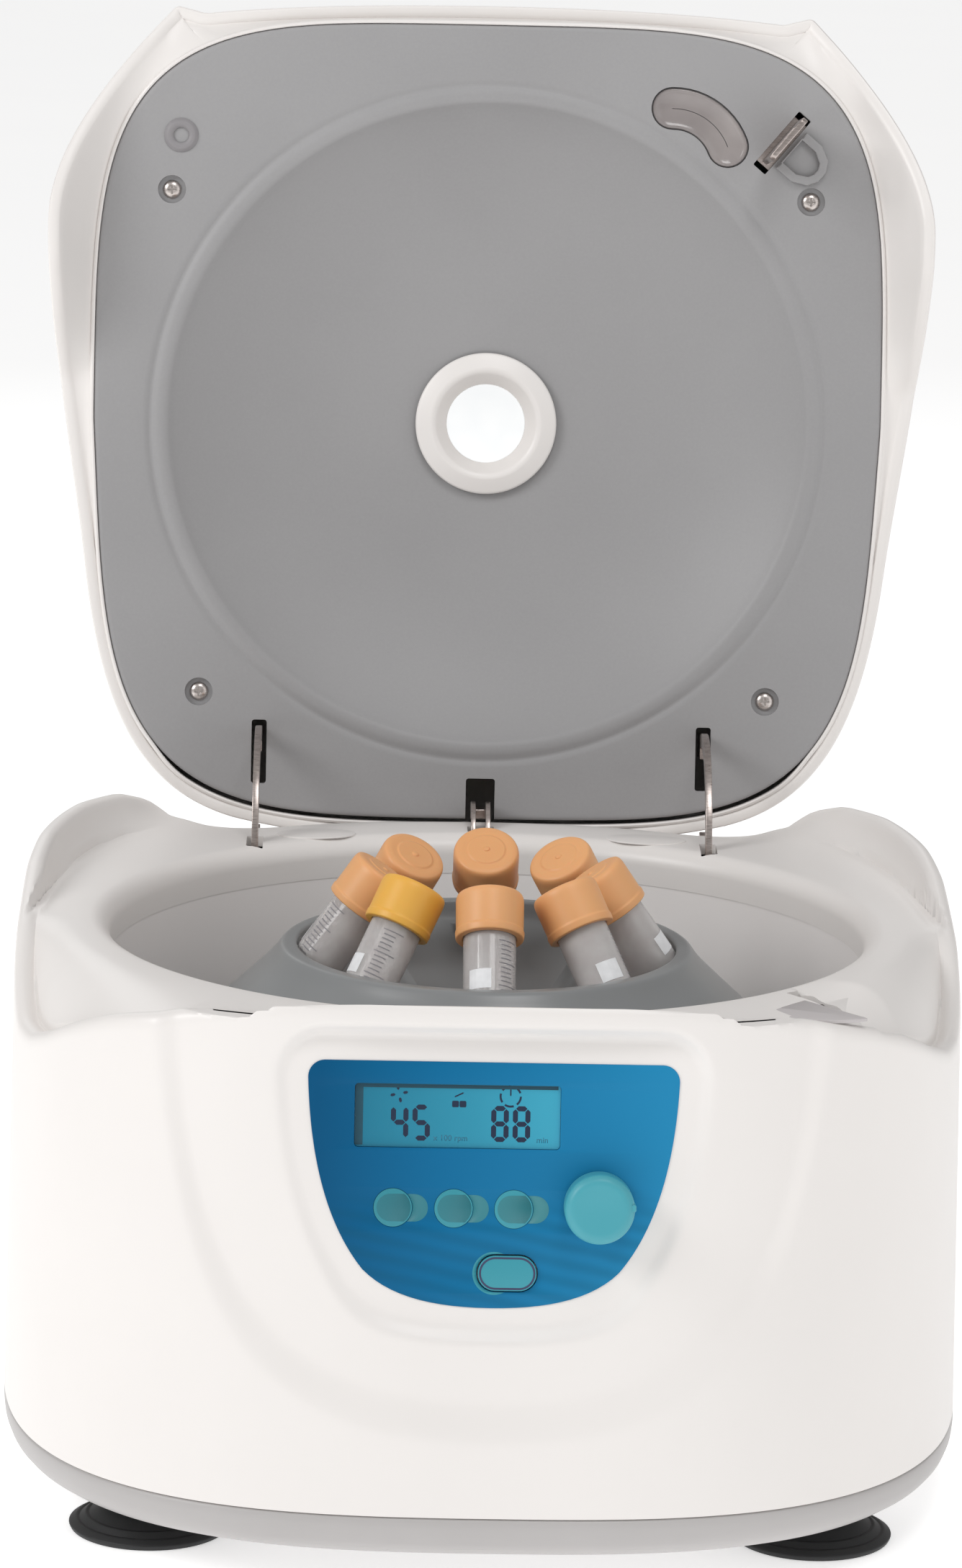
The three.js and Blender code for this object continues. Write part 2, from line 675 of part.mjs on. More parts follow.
function buildSideArm(side) {
  const x = side * ARM_X;
  const { band, neck } = armShape(ARM_RADIUS, 2.4, 4.6, -106, 15);
  const tab = box([x - 1.1, 103.8, 172], [x + 1.1, 112, 188]);
  const blank = join(
    acrossHinge(band, 2.2, x),
    acrossHinge(neck, 2.2, x),
    tab,
    crossBar(4.6, x - 2.6, x + 2.6, AXIS_Y, AXIS_Z),
  );
  return cut(blank, crossBar(HINGE_SHAFT_RADIUS + GAP, x - 5, x + 5, AXIS_Y, AXIS_Z));
}

function buildCentreArm() {
  const { band, neck } = armShape(CENTRE_ARM_RADIUS, 1.9, 4.4, -106, 42);
  const legs = [-2.5, 2.5].flatMap((x) => [acrossHinge(band, 1.6, x), acrossHinge(neck, 1.6, x)]);
  const tab = box([-3.3, 130.5, 171.5], [3.3, 134, 186]);
  const blank = join(...legs, tab, crossBar(4.4, -4.5, 4.5, AXIS_Y, AXIS_Z));
  return cut(blank, crossBar(HINGE_SHAFT_RADIUS + GAP, -9, 9, AXIS_Y, AXIS_Z));
}

// ---- Hinge parts in the body --------------------------------------------------------------------
function buildHingeBracket(side) {
  const near = side * 84;
  const far = side * 87;
  const cheek = box([Math.min(near, far), 130, 118], [Math.max(near, far), AXIS_Y + 2.2, 167]);
  const foot = box([side > 0 ? 84 : -102, 130, 118], [side > 0 ? 102 : -84, 133, 167]);
  return cut(join(cheek, foot), crossBar(HINGE_SHAFT_RADIUS + GAP, near - 9, far + 9, AXIS_Y, AXIS_Z));
}

// Torsion spring wound on the hinge shaft, with one straight tail resting under the deck.
function buildLidSpring() {
  const wire = 0.6;
  const coilRadius = HINGE_SHAFT_RADIUS + 2 * GAP + wire;
  const turns = 7;
  const points = [];
  points.push(new THREE.Vector3(16, AXIS_Y - coilRadius, AXIS_Z - 16));
  for (let i = 0; i <= turns * 6; i++) {
    const angle = Math.PI + (i / 6) * 2 * Math.PI;
    const x = 16 + (i / 6) * 2.6;
    const [across, up] = [coilRadius * Math.cos(angle), coilRadius * Math.sin(angle)];
    points.push(new THREE.Vector3(x, AXIS_Y + across, AXIS_Z + up));
  }
  const path = new THREE.CatmullRomCurve3(points);
  const section = new THREE.Shape();
  section.absarc(0, 0, wire, 0, 2 * Math.PI, false);
  return new THREE.ExtrudeGeometry(section, { steps: turns * 6 + 3, curveSegments: 2, extrudePath: path });
}

// ---- Power inlet --------------------------------------------------------------------------------
const INLET_MIDDLE = (INLET_X[0] + INLET_X[1]) / 2;
const SOCKET_Z = 60;
const ROCKER_Z = 82;
const ROCKER_AXIS_Y = INLET_FACE - 2;
const ROCKER_TILT = THREE.MathUtils.degToRad(7); // the switch rests in its off position

function buildInlet() {
  const [x0, x1] = INLET_X;
  const [z0, z1] = INLET_Z;
  const flange = box([x0 + GAP, INLET_FACE + GAP, z0 + GAP], [x1 - GAP, INLET_FACE + 2.8, z1 - GAP]);
  const body = box([x0 + 4, 148, z0 + 4], [x1 - 4, INLET_FACE + 1, z1 - 4]);
  const pocket = (width, height, depth, z) =>
    box(
      [INLET_MIDDLE - width / 2, INLET_FACE - depth, z - height / 2],
      [INLET_MIDDLE + width / 2, INLET_FACE + 16, z + height / 2],
    );
  const socket = pocket(24.4, 16.4, 17, SOCKET_Z);
  const well = pocket(20, 12, 14, ROCKER_Z);
  const blades = [[-7, -2], [0, 2], [7, -2]].map(([x, z]) =>
    box([INLET_MIDDLE + x - 1, 155, SOCKET_Z + z - 2], [INLET_MIDDLE + x + 1, 171, SOCKET_Z + z + 2]),
  );
  return join(cut(join(flange, body), socket, well), ...blades);
}

function buildRocker() {
  const shape = new THREE.Shape();
  shape.moveTo(-4.9, 4.8);
  shape.lineTo(-3.6, -6);
  shape.lineTo(3.6, -6);
  shape.lineTo(4.9, 4.8);
  shape.lineTo(0, 3.6);
  const flat = new THREE.ExtrudeGeometry(shape, { depth: 19, bevelEnabled: false }).translate(0, 0, -9.5);
  const turnToX = new THREE.Matrix4().makeBasis(
    new THREE.Vector3(0, 0, 1),
    new THREE.Vector3(0, 1, 0),
    new THREE.Vector3(-1, 0, 0),
  );
  return flat.applyMatrix4(turnToX).rotateX(-ROCKER_TILT).translate(INLET_MIDDLE, ROCKER_AXIS_Y, ROCKER_Z);
}

// ---- Finishes -----------------------------------------------------------------------------------
function finish(color, roughness, metalness = 0) {
  return new THREE.MeshStandardMaterial({ color, roughness, metalness });
}

const WHITE = finish(0xefecea, 0.4);
const TRAY_GREY = finish(0xafadac, 0.5);
const LINER_GREY = finish(0x989798, 0.45);
const ROTOR_GREY = finish(0x8a8c8d, 0.4);
const BLACK = finish(0x262827, 0.7);
const STEEL = finish(0xa79c99, 0.3, 1);
const MOTOR = finish(0x3a3c3e, 0.5, 0.6);
const BLUE = finish(0x1c76a2, 0.35);
const TEAL = finish(0x3f93a0, 0.4);
const LCD_BLUE = finish(0x3098b2, 0.15);
const ORANGE = finish(0xdea05f, 0.5);
const CLEAR = finish(0xf4f6f6, 0.05);
CLEAR.transparent = true;
CLEAR.opacity = 0.4;
const BOARD = finish(0x1f5a3a, 0.6);

// ---- Assembly -----------------------------------------------------------------------------------
const machine = new THREE.Group();
const lid = new THREE.Group();
machine.add(lid);

function add(parent, name, geometry, material) {
  const mesh = new THREE.Mesh(geometry, material);
  mesh.name = name;
  parent.add(mesh);
  return mesh;
}

add(machine, "housing", buildHousing(), WHITE);
add(machine, "base_tray", buildTray(), TRAY_GREY);
for (const [place, [x, y]] of Object.entries(FEET)) {
  add(machine, `foot_${place}`, buildFoot(), BLACK).position.set(x, y, 0);
}
add(machine, "chamber_bowl", buildBowl(), WHITE);
add(machine, "shaft_gaiter", buildGaiter(), BLACK);

add(machine, "motor_body", buildMotor(), MOTOR);
add(machine, "motor_plate", buildMotorPlate(), STEEL);
MOTOR_MOUNTS.forEach(([x, y], i) => {
  add(machine, `motor_mount_${i + 1}`, bar(8, 15.9, 25, x, y, 16), BLACK);
});
add(machine, "motor_shaft", buildShaft(), STEEL);
add(machine, "rotor_body", buildRotor(), ROTOR_GREY);
add(machine, "rotor_nut", buildRotorNut(), BLACK);
for (let seat = 0; seat < TUBE_COUNT; seat++) {
  add(machine, `tube_${seat + 1}`, inSeat(buildTube(), seat), ORANGE);
}

add(machine, "control_panel", buildPanel(), BLUE);
add(machine, "lcd_window", facePlate(LCD, 0, -1.4, -0.2, 1.2), LCD_BLUE);
add(machine, "lcd_module", facePlate(LCD, 1, -6, -PANEL_THICKNESS - 0.4, 1), BOARD);
for (const [name, x] of Object.entries(BUTTONS)) {
  add(machine, name, faceDisc(5.7, -4, 1, x, BUTTON_Y), TEAL);
}
add(machine, "start_button", facePlate(START, 0, -4, 1, 5.1), TEAL);
add(machine, "knob", buildKnob(), TEAL);
add(machine, "encoder", facePlate({ x: KNOB.x, y: KNOB.y, width: 12, height: 12 }, 0, -6, -3, 1), STEEL);
const boardSpec = { x: 0, y: 38, width: 84, height: 46 };
add(machine, "control_board", facePlate(boardSpec, 0, -BACKING - 2, -BACKING - GAP, 2), BOARD);

const plateGeometry = latchHalf(-1, LATCH_RECESS_RADIUS - GAP, DECK - 1.2, DECK - 0.1);
add(machine, "latch_plate", common(plateGeometry, standing(linerShape(2), 160, 180)), LINER_GREY);
add(machine, "latch_body", buildLatchBody(), STEEL);
add(machine, "latch_bolt", buildLatchBolt(), STEEL);

add(machine, "hinge_shaft", crossBar(HINGE_SHAFT_RADIUS, -92, 92, AXIS_Y, AXIS_Z, 16), STEEL);
add(machine, "hinge_bracket_left", buildHingeBracket(-1), STEEL);
add(machine, "hinge_bracket_right", buildHingeBracket(1), STEEL);
add(machine, "lid_spring", buildLidSpring(), STEEL);

add(machine, "power_supply", box([-60, 138, 30], [20, 168, 96]), STEEL);
add(machine, "power_inlet", buildInlet(), BLACK);
add(machine, "power_switch", buildRocker(), BLACK);

add(lid, "lid_shell", buildLidShell(), WHITE);
add(lid, "lid_liner", buildLiner(), LINER_GREY);
add(lid, "window_frame", buildWindowFrame(), WHITE);
add(lid, "window_lens", bar(15.7, 208, 211, 0, LID_SHIFT, 32), CLEAR);
LID_SCREWS.forEach(([x, y], i) => {
  add(lid, `lid_screw_${i + 1}`, buildScrew(), STEEL).position.set(x, y, LID_PLANE + 0.4);
});
const bumperRing = turned([[2.6, 171.3], [5.4, 171.3], [5.8, 172.2], [2.6, 172.2], [2.6, 171.3]], 20);
add(lid, "lid_bumper", bumperRing.translate(-106.5, -98.5, 0), LINER_GREY);
add(lid, "sensor_cover", standing(kidneyShape(0), LID_PLANE + 0.6, LID_PLANE + 1.9), STEEL);
add(lid, "striker", buildStriker(), STEEL);
const guardBlock = box([-8, 4, DECK - 0.8], [8, 18, LID_PLANE - GAP]);
const guard = cut(guardBlock, box([-4, 9, DECK - 3], [4, 13, DECK + 0.2]));
add(lid, "striker_guard", inLatch(guard), LINER_GREY);
add(lid, "lid_arm_left", buildSideArm(-1), STEEL);
add(lid, "lid_arm_right", buildSideArm(1), STEEL);
add(lid, "lid_arm_centre", buildCentreArm(), STEEL);

// Swing the lid open about the hinge axis.
for (const mesh of lid.children) mesh.geometry.translate(0, -AXIS_Y, -AXIS_Z);
lid.position.set(0, AXIS_Y, AXIS_Z);
lid.rotation.x = -THREE.MathUtils.degToRad(OPEN_ANGLE);

// The origin is the middle of the footprint of the whole machine, on the bench.
machine.updateMatrixWorld(true);
const extent = new THREE.Box3().setFromObject(machine, true);
machine.position.set(0, -(extent.min.y + extent.max.y) / 2, -extent.min.z);

export default machine;
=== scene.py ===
import json
import math

import bmesh
import bpy
import numpy as np
from mathutils import Matrix, Vector


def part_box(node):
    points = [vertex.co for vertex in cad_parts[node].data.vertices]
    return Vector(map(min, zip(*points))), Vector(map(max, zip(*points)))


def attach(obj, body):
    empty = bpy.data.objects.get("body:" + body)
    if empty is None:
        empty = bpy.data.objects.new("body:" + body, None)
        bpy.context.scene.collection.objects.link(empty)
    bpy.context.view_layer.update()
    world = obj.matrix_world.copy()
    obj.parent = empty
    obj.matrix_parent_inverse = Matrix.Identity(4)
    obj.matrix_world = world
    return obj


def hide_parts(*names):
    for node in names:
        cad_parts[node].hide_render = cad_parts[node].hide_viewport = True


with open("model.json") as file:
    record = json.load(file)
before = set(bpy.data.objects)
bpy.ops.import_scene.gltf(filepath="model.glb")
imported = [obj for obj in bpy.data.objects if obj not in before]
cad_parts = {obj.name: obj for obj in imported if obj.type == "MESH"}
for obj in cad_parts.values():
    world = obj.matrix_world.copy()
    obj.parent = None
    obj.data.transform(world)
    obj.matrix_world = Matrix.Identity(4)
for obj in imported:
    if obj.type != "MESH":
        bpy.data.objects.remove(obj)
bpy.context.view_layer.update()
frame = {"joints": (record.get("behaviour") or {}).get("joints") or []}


# ---- Floor ---------------------------------------------------------------------------------------
# A plain pale floor that runs on past the view, so that it is the background as well. It is one flat
# sheet with a faint mottle in its paint.
def linear(code):
    """An sRGB hex colour as linear RGBA."""
    parts = [int(code[i:i + 2], 16) / 255 for i in (1, 3, 5)]
    return [c / 12.92 if c <= 0.04045 else ((c + 0.055) / 1.055) ** 2.4 for c in parts] + [1.0]


def add_node(tree, kind, values=None, links=None, **settings):
    """Adds a shader node: its settings, the values on its sockets, and the outputs that feed it."""
    node = tree.nodes.new(kind)
    for key, value in settings.items():
        setattr(node, key, value)
    for socket, value in (values or {}).items():
        node.inputs[socket].default_value = value
    for socket, source in (links or {}).items():
        tree.links.new(source, node.inputs[socket])
    return node


def start_material(name):
    """A new material with its node tree, its shader and the object's own coordinates."""
    material = bpy.data.materials.new(name)
    material.use_nodes = True
    tree = material.node_tree
    where = add_node(tree, "ShaderNodeTexCoord").outputs["Object"]
    return material, tree, tree.nodes["Principled BSDF"], where


def colour_ramp(tree, factor, stops):
    """A colour ramp with (position, hex colour) stops."""
    node = add_node(tree, "ShaderNodeValToRGB", links={"Fac": factor})
    ramp = node.color_ramp
    while len(ramp.elements) < len(stops):
        ramp.elements.new(0.5)
    for element, (position, code) in zip(ramp.elements, stops):
        element.position = position
        element.color = linear(code)
    return node.outputs["Color"]


def vary_roughness(tree, shader, factor, low, high):
    """Lets the roughness follow a pattern between two values."""
    span = add_node(tree, "ShaderNodeMapRange", {"To Min": low, "To Max": high}, {"Value": factor})
    tree.links.new(span.outputs["Result"], shader.inputs["Roughness"])


floor_paint, tree, shader, where = start_material("matt white floor paint")
mottle = add_node(tree, "ShaderNodeTexNoise", {"Scale": 3.0, "Detail": 3.0}, {"Vector": where})
tree.links.new(
    colour_ramp(tree, mottle.outputs["Fac"], [(0.3, "#F7F7F7"), (0.7, "#F9F9F9")]),
    shader.inputs["Base Color"],
)
vary_roughness(tree, shader, mottle.outputs["Fac"], 0.75, 0.85)
shader.inputs["Specular IOR Level"].default_value = 0.2
shader.inputs["Emission Color"].default_value = (1, 1, 1, 1)
shader.inputs["Emission Strength"].default_value = 0.5

FLOOR_REACH = 30
floor_mesh = bpy.data.meshes.new("floor")
corners = [(x * FLOOR_REACH, y * FLOOR_REACH, 0) for x, y in ((-1, -1), (1, -1), (1, 1), (-1, 1))]
floor_mesh.from_pydata(corners, [], [(0, 1, 2, 3)])
floor_mesh.materials.append(floor_paint)
floor = bpy.data.objects.new("floor", floor_mesh)
bpy.context.scene.collection.objects.link(floor)


# ---- Light and camera ----------------------------------------------------------------------------
# An even white studio: a bright surround, a broad key from the upper left in front, and a soft fill.
# The camera is far off with a long lens, a little left of the middle and about 12 degrees above level.
scene = bpy.context.scene
scene.view_settings.view_transform = "Standard"
scene.view_settings.look = "None"
world = bpy.data.worlds.new("studio")
scene.world = world
world.use_nodes = True
world.node_tree.nodes["Background"].inputs["Color"].default_value = (1, 0.995, 0.99, 1)
world.node_tree.nodes["Background"].inputs["Strength"].default_value = 0.42


def softbox(name, place, aim, size, power):
    """A square area light that faces a point."""
    data = bpy.data.lights.new(name, "AREA")
    data.shape = "SQUARE"
    data.size = size
    data.energy = power
    lamp = bpy.data.objects.new(name, data)
    turn = (Vector(aim) - Vector(place)).to_track_quat("-Z", "Y")
    lamp.matrix_world = Matrix.Translation(place) @ turn.to_matrix().to_4x4()
    scene.collection.objects.link(lamp)


MACHINE_MIDDLE = (0, 0, 0.2)
softbox("key", (-1.75, -1.0, 1.5), MACHINE_MIDDLE, 0.9, 19)
softbox("top", (0.35, -1.0, 2.0), MACHINE_MIDDLE, 0.7, 8)
softbox("fill", (1.6, -1.0, 0.9), MACHINE_MIDDLE, 1.4, 4)
softbox("back", (-0.3, 1.6, 1.3), MACHINE_MIDDLE, 1.4, 6)

spindle = (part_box("motor_shaft")[0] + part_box("motor_shaft")[1]) / 2
EYE = Vector((-0.0402, spindle.y - 1.77845, 0.59163))
LENS = 131.45
heading, pitch, roll = (math.radians(angle) for angle in (1.2, 11.97, 1.3))
level = math.cos(pitch)
sight = Vector((math.sin(heading) * level, math.cos(heading) * level, -math.sin(pitch)))
camera_data = bpy.data.cameras.new("camera")
camera_data.lens = LENS
camera = bpy.data.objects.new("camera", camera_data)
aim = sight.to_track_quat("-Z", "Y").to_matrix() @ Matrix.Rotation(roll, 3, "Z")
camera.matrix_world = Matrix.Translation(EYE) @ aim.to_4x4()
scene.collection.objects.link(camera)
scene.camera = camera


# ---- Housing -------------------------------------------------------------------------------------
# The one-piece top of the body, injection moulded in warm white ABS with a satin gloss. It runs from a
# rolled lip round the bowl, over the deck, up to the crown and the two wings that flank the lid, and
# down the outer wall to the tray. It is one skin, made column by column round the spindle, lowered
# under the edge of the closed lid and pressed in for a finger beside the latch slot.
MM = 0.001


def to_frame(points):
    """Millimetres round the spindle on the bench, as metres in the frame."""
    return np.asarray(points, float) * MM + np.array([spindle.x, spindle.y, 0])


def finish_piece(name, bm, material, sharp=None):
    """Turns a bmesh into an object with smooth shading and outward faces."""
    bmesh.ops.remove_doubles(bm, verts=bm.verts, dist=2e-6)
    bmesh.ops.recalc_face_normals(bm, faces=bm.faces)
    mesh = bpy.data.meshes.new(name)
    bm.to_mesh(mesh)
    bm.free()
    mesh.materials.append(material)
    mesh.shade_smooth()
    if sharp is not None:
        mesh.set_sharp_from_angle(angle=math.radians(sharp))
    piece = bpy.data.objects.new(name, mesh)
    scene.collection.objects.link(piece)
    return piece


def skin(name, rows, material, around=True, sharp=None):
    """A quad skin over rows of points in metres, each row closed on itself where it goes around."""
    rows = np.asarray(rows, float)
    count, width = rows.shape[:2]
    here = np.arange(width if around else width - 1)
    after = (here + 1) % width
    faces = []
    for r in range(count - 1):
        a, b = r * width, (r + 1) * width
        faces.append(np.stack([a + here, a + after, b + after, b + here], -1))
    mesh = bpy.data.meshes.new("draft")
    mesh.from_pydata(rows.reshape(-1, 3).tolist(), [], np.concatenate(faces).tolist())
    bm = bmesh.new()
    bm.from_mesh(mesh)
    bpy.data.meshes.remove(mesh)
    return finish_piece(name, bm, material, sharp)


def smooth(value):
    value = np.clip(value, 0, 1)
    return value * value * (3 - 2 * value)


def bezier(a, b, c, d, count=60):
    """Points along one cubic Bezier."""
    t = np.linspace(0, 1, count)[:, None]
    a, b, c, d = (np.array(p, float) for p in (a, b, c, d))
    return a * (1 - t) ** 3 + 3 * b * t * (1 - t) ** 2 + 3 * c * t * t * (1 - t) + d * t**3


def distance_to(points, line):
    """Distance of each point in a plane to a polyline."""
    start, end = line[:-1], line[1:]
    run = end - start
    reach = points[:, None, :] - start[None]
    t = np.clip((reach * run).sum(-1) / (run * run).sum(-1), 0, 1)
    return np.linalg.norm(reach - t[..., None] * run, axis=-1).min(1)


def moulded(name, light, dark, roughness, grain=0.03, grain_scale=1400):
    """Moulded plastic: a faint drift of colour, uneven gloss and the fine texture of the mould."""
    material, tree, shader, where = start_material(name)
    drift = add_node(tree, "ShaderNodeTexNoise", {"Scale": 14.0, "Detail": 4.0}, {"Vector": where})
    tint = colour_ramp(tree, drift.outputs["Fac"], [(0.3, dark), (0.7, light)])
    tree.links.new(tint, shader.inputs["Base Color"])
    vary_roughness(tree, shader, drift.outputs["Fac"], roughness - 0.03, roughness + 0.04)
    texture = add_node(
        tree, "ShaderNodeTexNoise", {"Scale": grain_scale, "Detail": 2.0}, {"Vector": where}
    )
    bump = add_node(
        tree, "ShaderNodeBump", {"Strength": grain, "Distance": 0.0002},
        {"Height": texture.outputs["Fac"]},
    )
    tree.links.new(bump.outputs["Normal"], shader.inputs["Normal"])
    return material


white_abs = moulded("warm white moulded ABS", "#EDE9E6", "#EAE6E3", 0.36)

tray_low, tray_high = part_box("base_tray")
HALF_WIDTH = tray_high.x / MM
FRONT_DEPTH = (spindle.y - tray_low.y) / MM
REAR_DEPTH = (tray_high.y - spindle.y) / MM
SEAM = tray_high.z / MM
SQUARENESS = 2.85
FRONT_LEAN = 18.5
SIDE_DRAFT = 2.5
DECK = 171.0
CROWN = 178.0
SHELF = 152.0
SHELF_STEP = 145.2
BOWL_RADIUS = 120.0
LIP_RADIUS = 6.5
DECK_RING = 132.0
RIM_WIDTH = 6.0
RIM_LINE = np.array([
    (-147, 178.5), (-142, 177), (-133, 171.6), (-119, 167.3), (-104, 161), (-90, 154.5),
    (-76, 150.2), (-58, 149.5), (-38, 158), (-14, 171), (30, 181), (60, 183.5), (105, 183.5),
    (132, 181.5), (145, 177), (151, 172), (157, 166), (164, 158), (170, SHELF), (190, SHELF),
])


def plan_point(angle, z, inset=0.0):
    """A point of the body's plan, a superellipse that leans back at the front."""
    angle, z = np.broadcast_arrays(angle, np.asarray(z, float))
    rise = (z - SEAM) / (CROWN - SEAM)
    half = HALF_WIDTH - SIDE_DRAFT * rise - inset
    depth = np.where(np.sin(angle) < 0, FRONT_DEPTH - FRONT_LEAN * rise, REAR_DEPTH) - inset
    bulge = 2 / SQUARENESS
    x = half * np.sign(np.cos(angle)) * np.abs(np.cos(angle)) ** bulge
    y = depth * np.sign(np.sin(angle)) * np.abs(np.sin(angle)) ** bulge
    return np.stack([x, y, z], -1)


def even_columns(front_step, other_step):
    """Parameter angles at even distances round the plan, closer together at the front."""
    angle = np.linspace(-np.pi / 2, 1.5 * np.pi, 40001)
    line = plan_point(angle, DECK)
    step = np.linalg.norm(np.diff(line, axis=0), axis=1)
    middle = (line[1:, 1] + line[:-1, 1]) / 2
    wanted = other_step + (front_step - other_step) * smooth((-60 - middle) / 50)
    total = np.concatenate([[0], np.cumsum(step / wanted)])
    count = int(round(total[-1] / 4)) * 4
    return np.interp(np.arange(count) / count * total[-1], total, angle)


def rim_height(y):
    """Height of the top edge of the outer wall, smoothed between its stations."""
    spread = np.linspace(-5, 5, 9)
    weight = np.cos(spread / 5 * np.pi / 2) ** 2
    heights = [np.interp(y + s, RIM_LINE[:, 0], RIM_LINE[:, 1]) * w for s, w in zip(spread, weight)]
    return sum(heights) / weight.sum()


columns = even_columns(1.15, 4.0)
plan = plan_point(columns, DECK)
bearing = np.arctan2(plan[:, 1], plan[:, 0])
ray = np.stack([np.cos(bearing), np.sin(bearing)], -1)
rim = rim_height(plan[:, 1])


def ring_at(radius, z):
    return np.column_stack([ray * radius, np.full(len(ray), float(z))])


housing_rows = [ring_at(BOWL_RADIUS + 1.4, 158), ring_at(BOWL_RADIUS, 158)]
for turn in np.linspace(0, np.pi / 2, 9):
    across = LIP_RADIUS * (1 - math.cos(turn))
    up = LIP_RADIUS * (math.sin(turn) - 1)
    housing_rows.append(ring_at(BOWL_RADIUS + across, DECK + up))
housing_rows.append(ring_at(DECK_RING, DECK))

rim_foot = plan_point(columns, rim, RIM_WIDTH)
ring_edge = ring_at(DECK_RING, DECK)
on_step = np.minimum(SHELF_STEP / np.maximum(ray[:, 1], 1e-3), 1e4)
foot_radius = np.hypot(rim_foot[:, 0], rim_foot[:, 1])
step_share = np.clip((on_step - DECK_RING) / (foot_radius - DECK_RING), 0, 0.93)


def deck_height(share):
    """Level round the bowl, then rolling up to the wing or down to the front corner."""
    climb = np.where(rim > DECK, share**7, share**2.6)
    return DECK + (rim - 1.2 - DECK) * climb


for part in 1 - (1 - np.linspace(0, 1, 24)[1:]) ** 1.5:
    share = part * step_share
    point = ring_edge + (rim_foot - ring_edge) * share[:, None]
    point[:, 2] = deck_height(share)
    housing_rows.append(point)
before_step = housing_rows[-1]
for part, drop in ((0.1, 0.15), (0.16, 0.5), (0.22, 0.85), (0.35, 1), (0.7, 1), (1, 1)):
    share = step_share + (1 - step_share) * part
    point = ring_edge + (rim_foot - ring_edge) * share[:, None]
    low = np.minimum(before_step[:, 2], rim - 1.2)
    behind = before_step[:, 2] + (low - before_step[:, 2]) * drop
    wing = deck_height(share)
    point[:, 2] = np.where(rim > SHELF + 4, wing, np.minimum(behind, wing))
    housing_rows.append(point)

for inset, drop in ((5, 0.5), (4, 0.1), (3, 0), (2, 0.2), (1.2, 0.7), (0.6, 1.5), (0.2, 2.6)):
    housing_rows.append(plan_point(columns, rim - drop, inset))

U_OUTER = bezier((104, CROWN + 4), (94, 92), (82, 48.6), (0, 48.6))
U_INNER = bezier((93.5, CROWN + 4), (92, 100), (70, 61), (0, 61))
U_DEPTH = 3.0


panel_low, panel_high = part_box("control_panel")
knob_turn = next(joint for joint in frame["joints"] if joint["name"] == "knob_turn")
knob_at = (np.array(knob_turn["pos_m"]) - np.array([spindle.x, spindle.y, 0])) / MM
panel_out = np.array(knob_turn["axis"], float)
panel_up = np.array([0, panel_out[2], -panel_out[1]])
foot_y = (panel_low.y - spindle.y) / MM
foot_z = knob_at[2] - (foot_y - knob_at[1]) * panel_out[1] / panel_out[2]
panel_foot = np.array([0, foot_y, foot_z])
PANEL_HALF = panel_high.x / MM
PANEL_HEIGHT = 73.0
POCKET_GROW = 11.0
POCKET_FLOOR = 0.35  # the membrane stands this far proud of the pocket's floor


def panel_outline(grow):
    """The D-shaped outline of the panel on its own plane, grown outwards, as a closed polyline."""
    half, top, corner = PANEL_HALF + grow, PANEL_HEIGHT + grow, 5 + grow
    low = (38 + 0.8 * grow, 11 - 0.7 * grow)
    foot = bezier((0, -grow), (17 + grow, -grow), (30 + 0.9 * grow, 3 - grow), low, 14)
    side = bezier(low, (48 + grow, 23), (half - 1, 42), (half, top - corner), 24)
    bend = 0.55 * corner
    near, far = (half, top - corner + bend), (half - corner + bend, top)
    turn = bezier(side[-1], near, far, (half - corner, top), 10)
    right = np.concatenate([foot, side[1:], turn[1:]])
    left = right[::-1] * [-1, 1]
    return np.concatenate([right, left[:-1]])


def within(points, loop):
    """True for each point inside a closed polyline, by the even-odd rule."""
    x, y = points[:, 0, None], points[:, 1, None]
    x0, y0 = loop[:, 0], loop[:, 1]
    x1, y1 = np.roll(x0, -1), np.roll(y0, -1)
    rise = np.where(y1 == y0, 1e-9, y1 - y0)
    crossed = ((y0 > y) != (y1 > y)) & (x < (x1 - x0) * (y - y0) / rise + x0)
    return crossed.sum(1) % 2 == 1


def share_between(points, outer, inner):
    """0 outside the outer loop, 1 inside the inner one, easing in the band between."""
    off_outer = distance_to(points, np.concatenate([outer, outer[:1]]))
    off_inner = distance_to(points, np.concatenate([inner, inner[:1]]))
    share = smooth(off_outer / (off_outer + off_inner))
    share = np.where(within(points, inner), 1.0, share)
    return np.where(within(points, outer), share, 0.0)


def closed_u(half):
    """A whole U from its right half, closed across the top."""
    return np.concatenate([half, half[::-1][1:] * [-1, 1]])


def shape_front(rows, weight=1.0, behind=0.0):
    """Presses the U-shaped field and the panel's pocket into the front of the outer wall."""
    flat = rows.reshape(-1, 3)
    front = (flat[:, 1] < -95) & (np.abs(flat[:, 0]) < 112)
    points = flat[front]
    field = share_between(points[:, [0, 2]], closed_u(U_OUTER), closed_u(U_INNER))
    points[:, 1] += U_DEPTH * field * np.broadcast_to(weight, flat.shape[:1])[front]
    up = (points - panel_foot) @ panel_up
    across = np.column_stack([points[:, 0], up])
    pocket = share_between(across, panel_outline(POCKET_GROW), panel_outline(POCKET_GROW - 5))
    lean = -panel_out[2] / panel_out[1]
    floor = foot_y + (points[:, 2] - foot_z) * lean + POCKET_FLOOR + behind
    points[:, 1] += (floor - points[:, 1]) * pocket * (points[:, 2] < CROWN - 4)
    flat[front] = points
    return flat.reshape(rows.shape)


def quadratic(a, b, c, count):
    a, b, c = (np.array(p, float) for p in (a, b, c))
    return bezier(a, a + (b - a) * 2 / 3, c + (b - c) * 2 / 3, c, count)


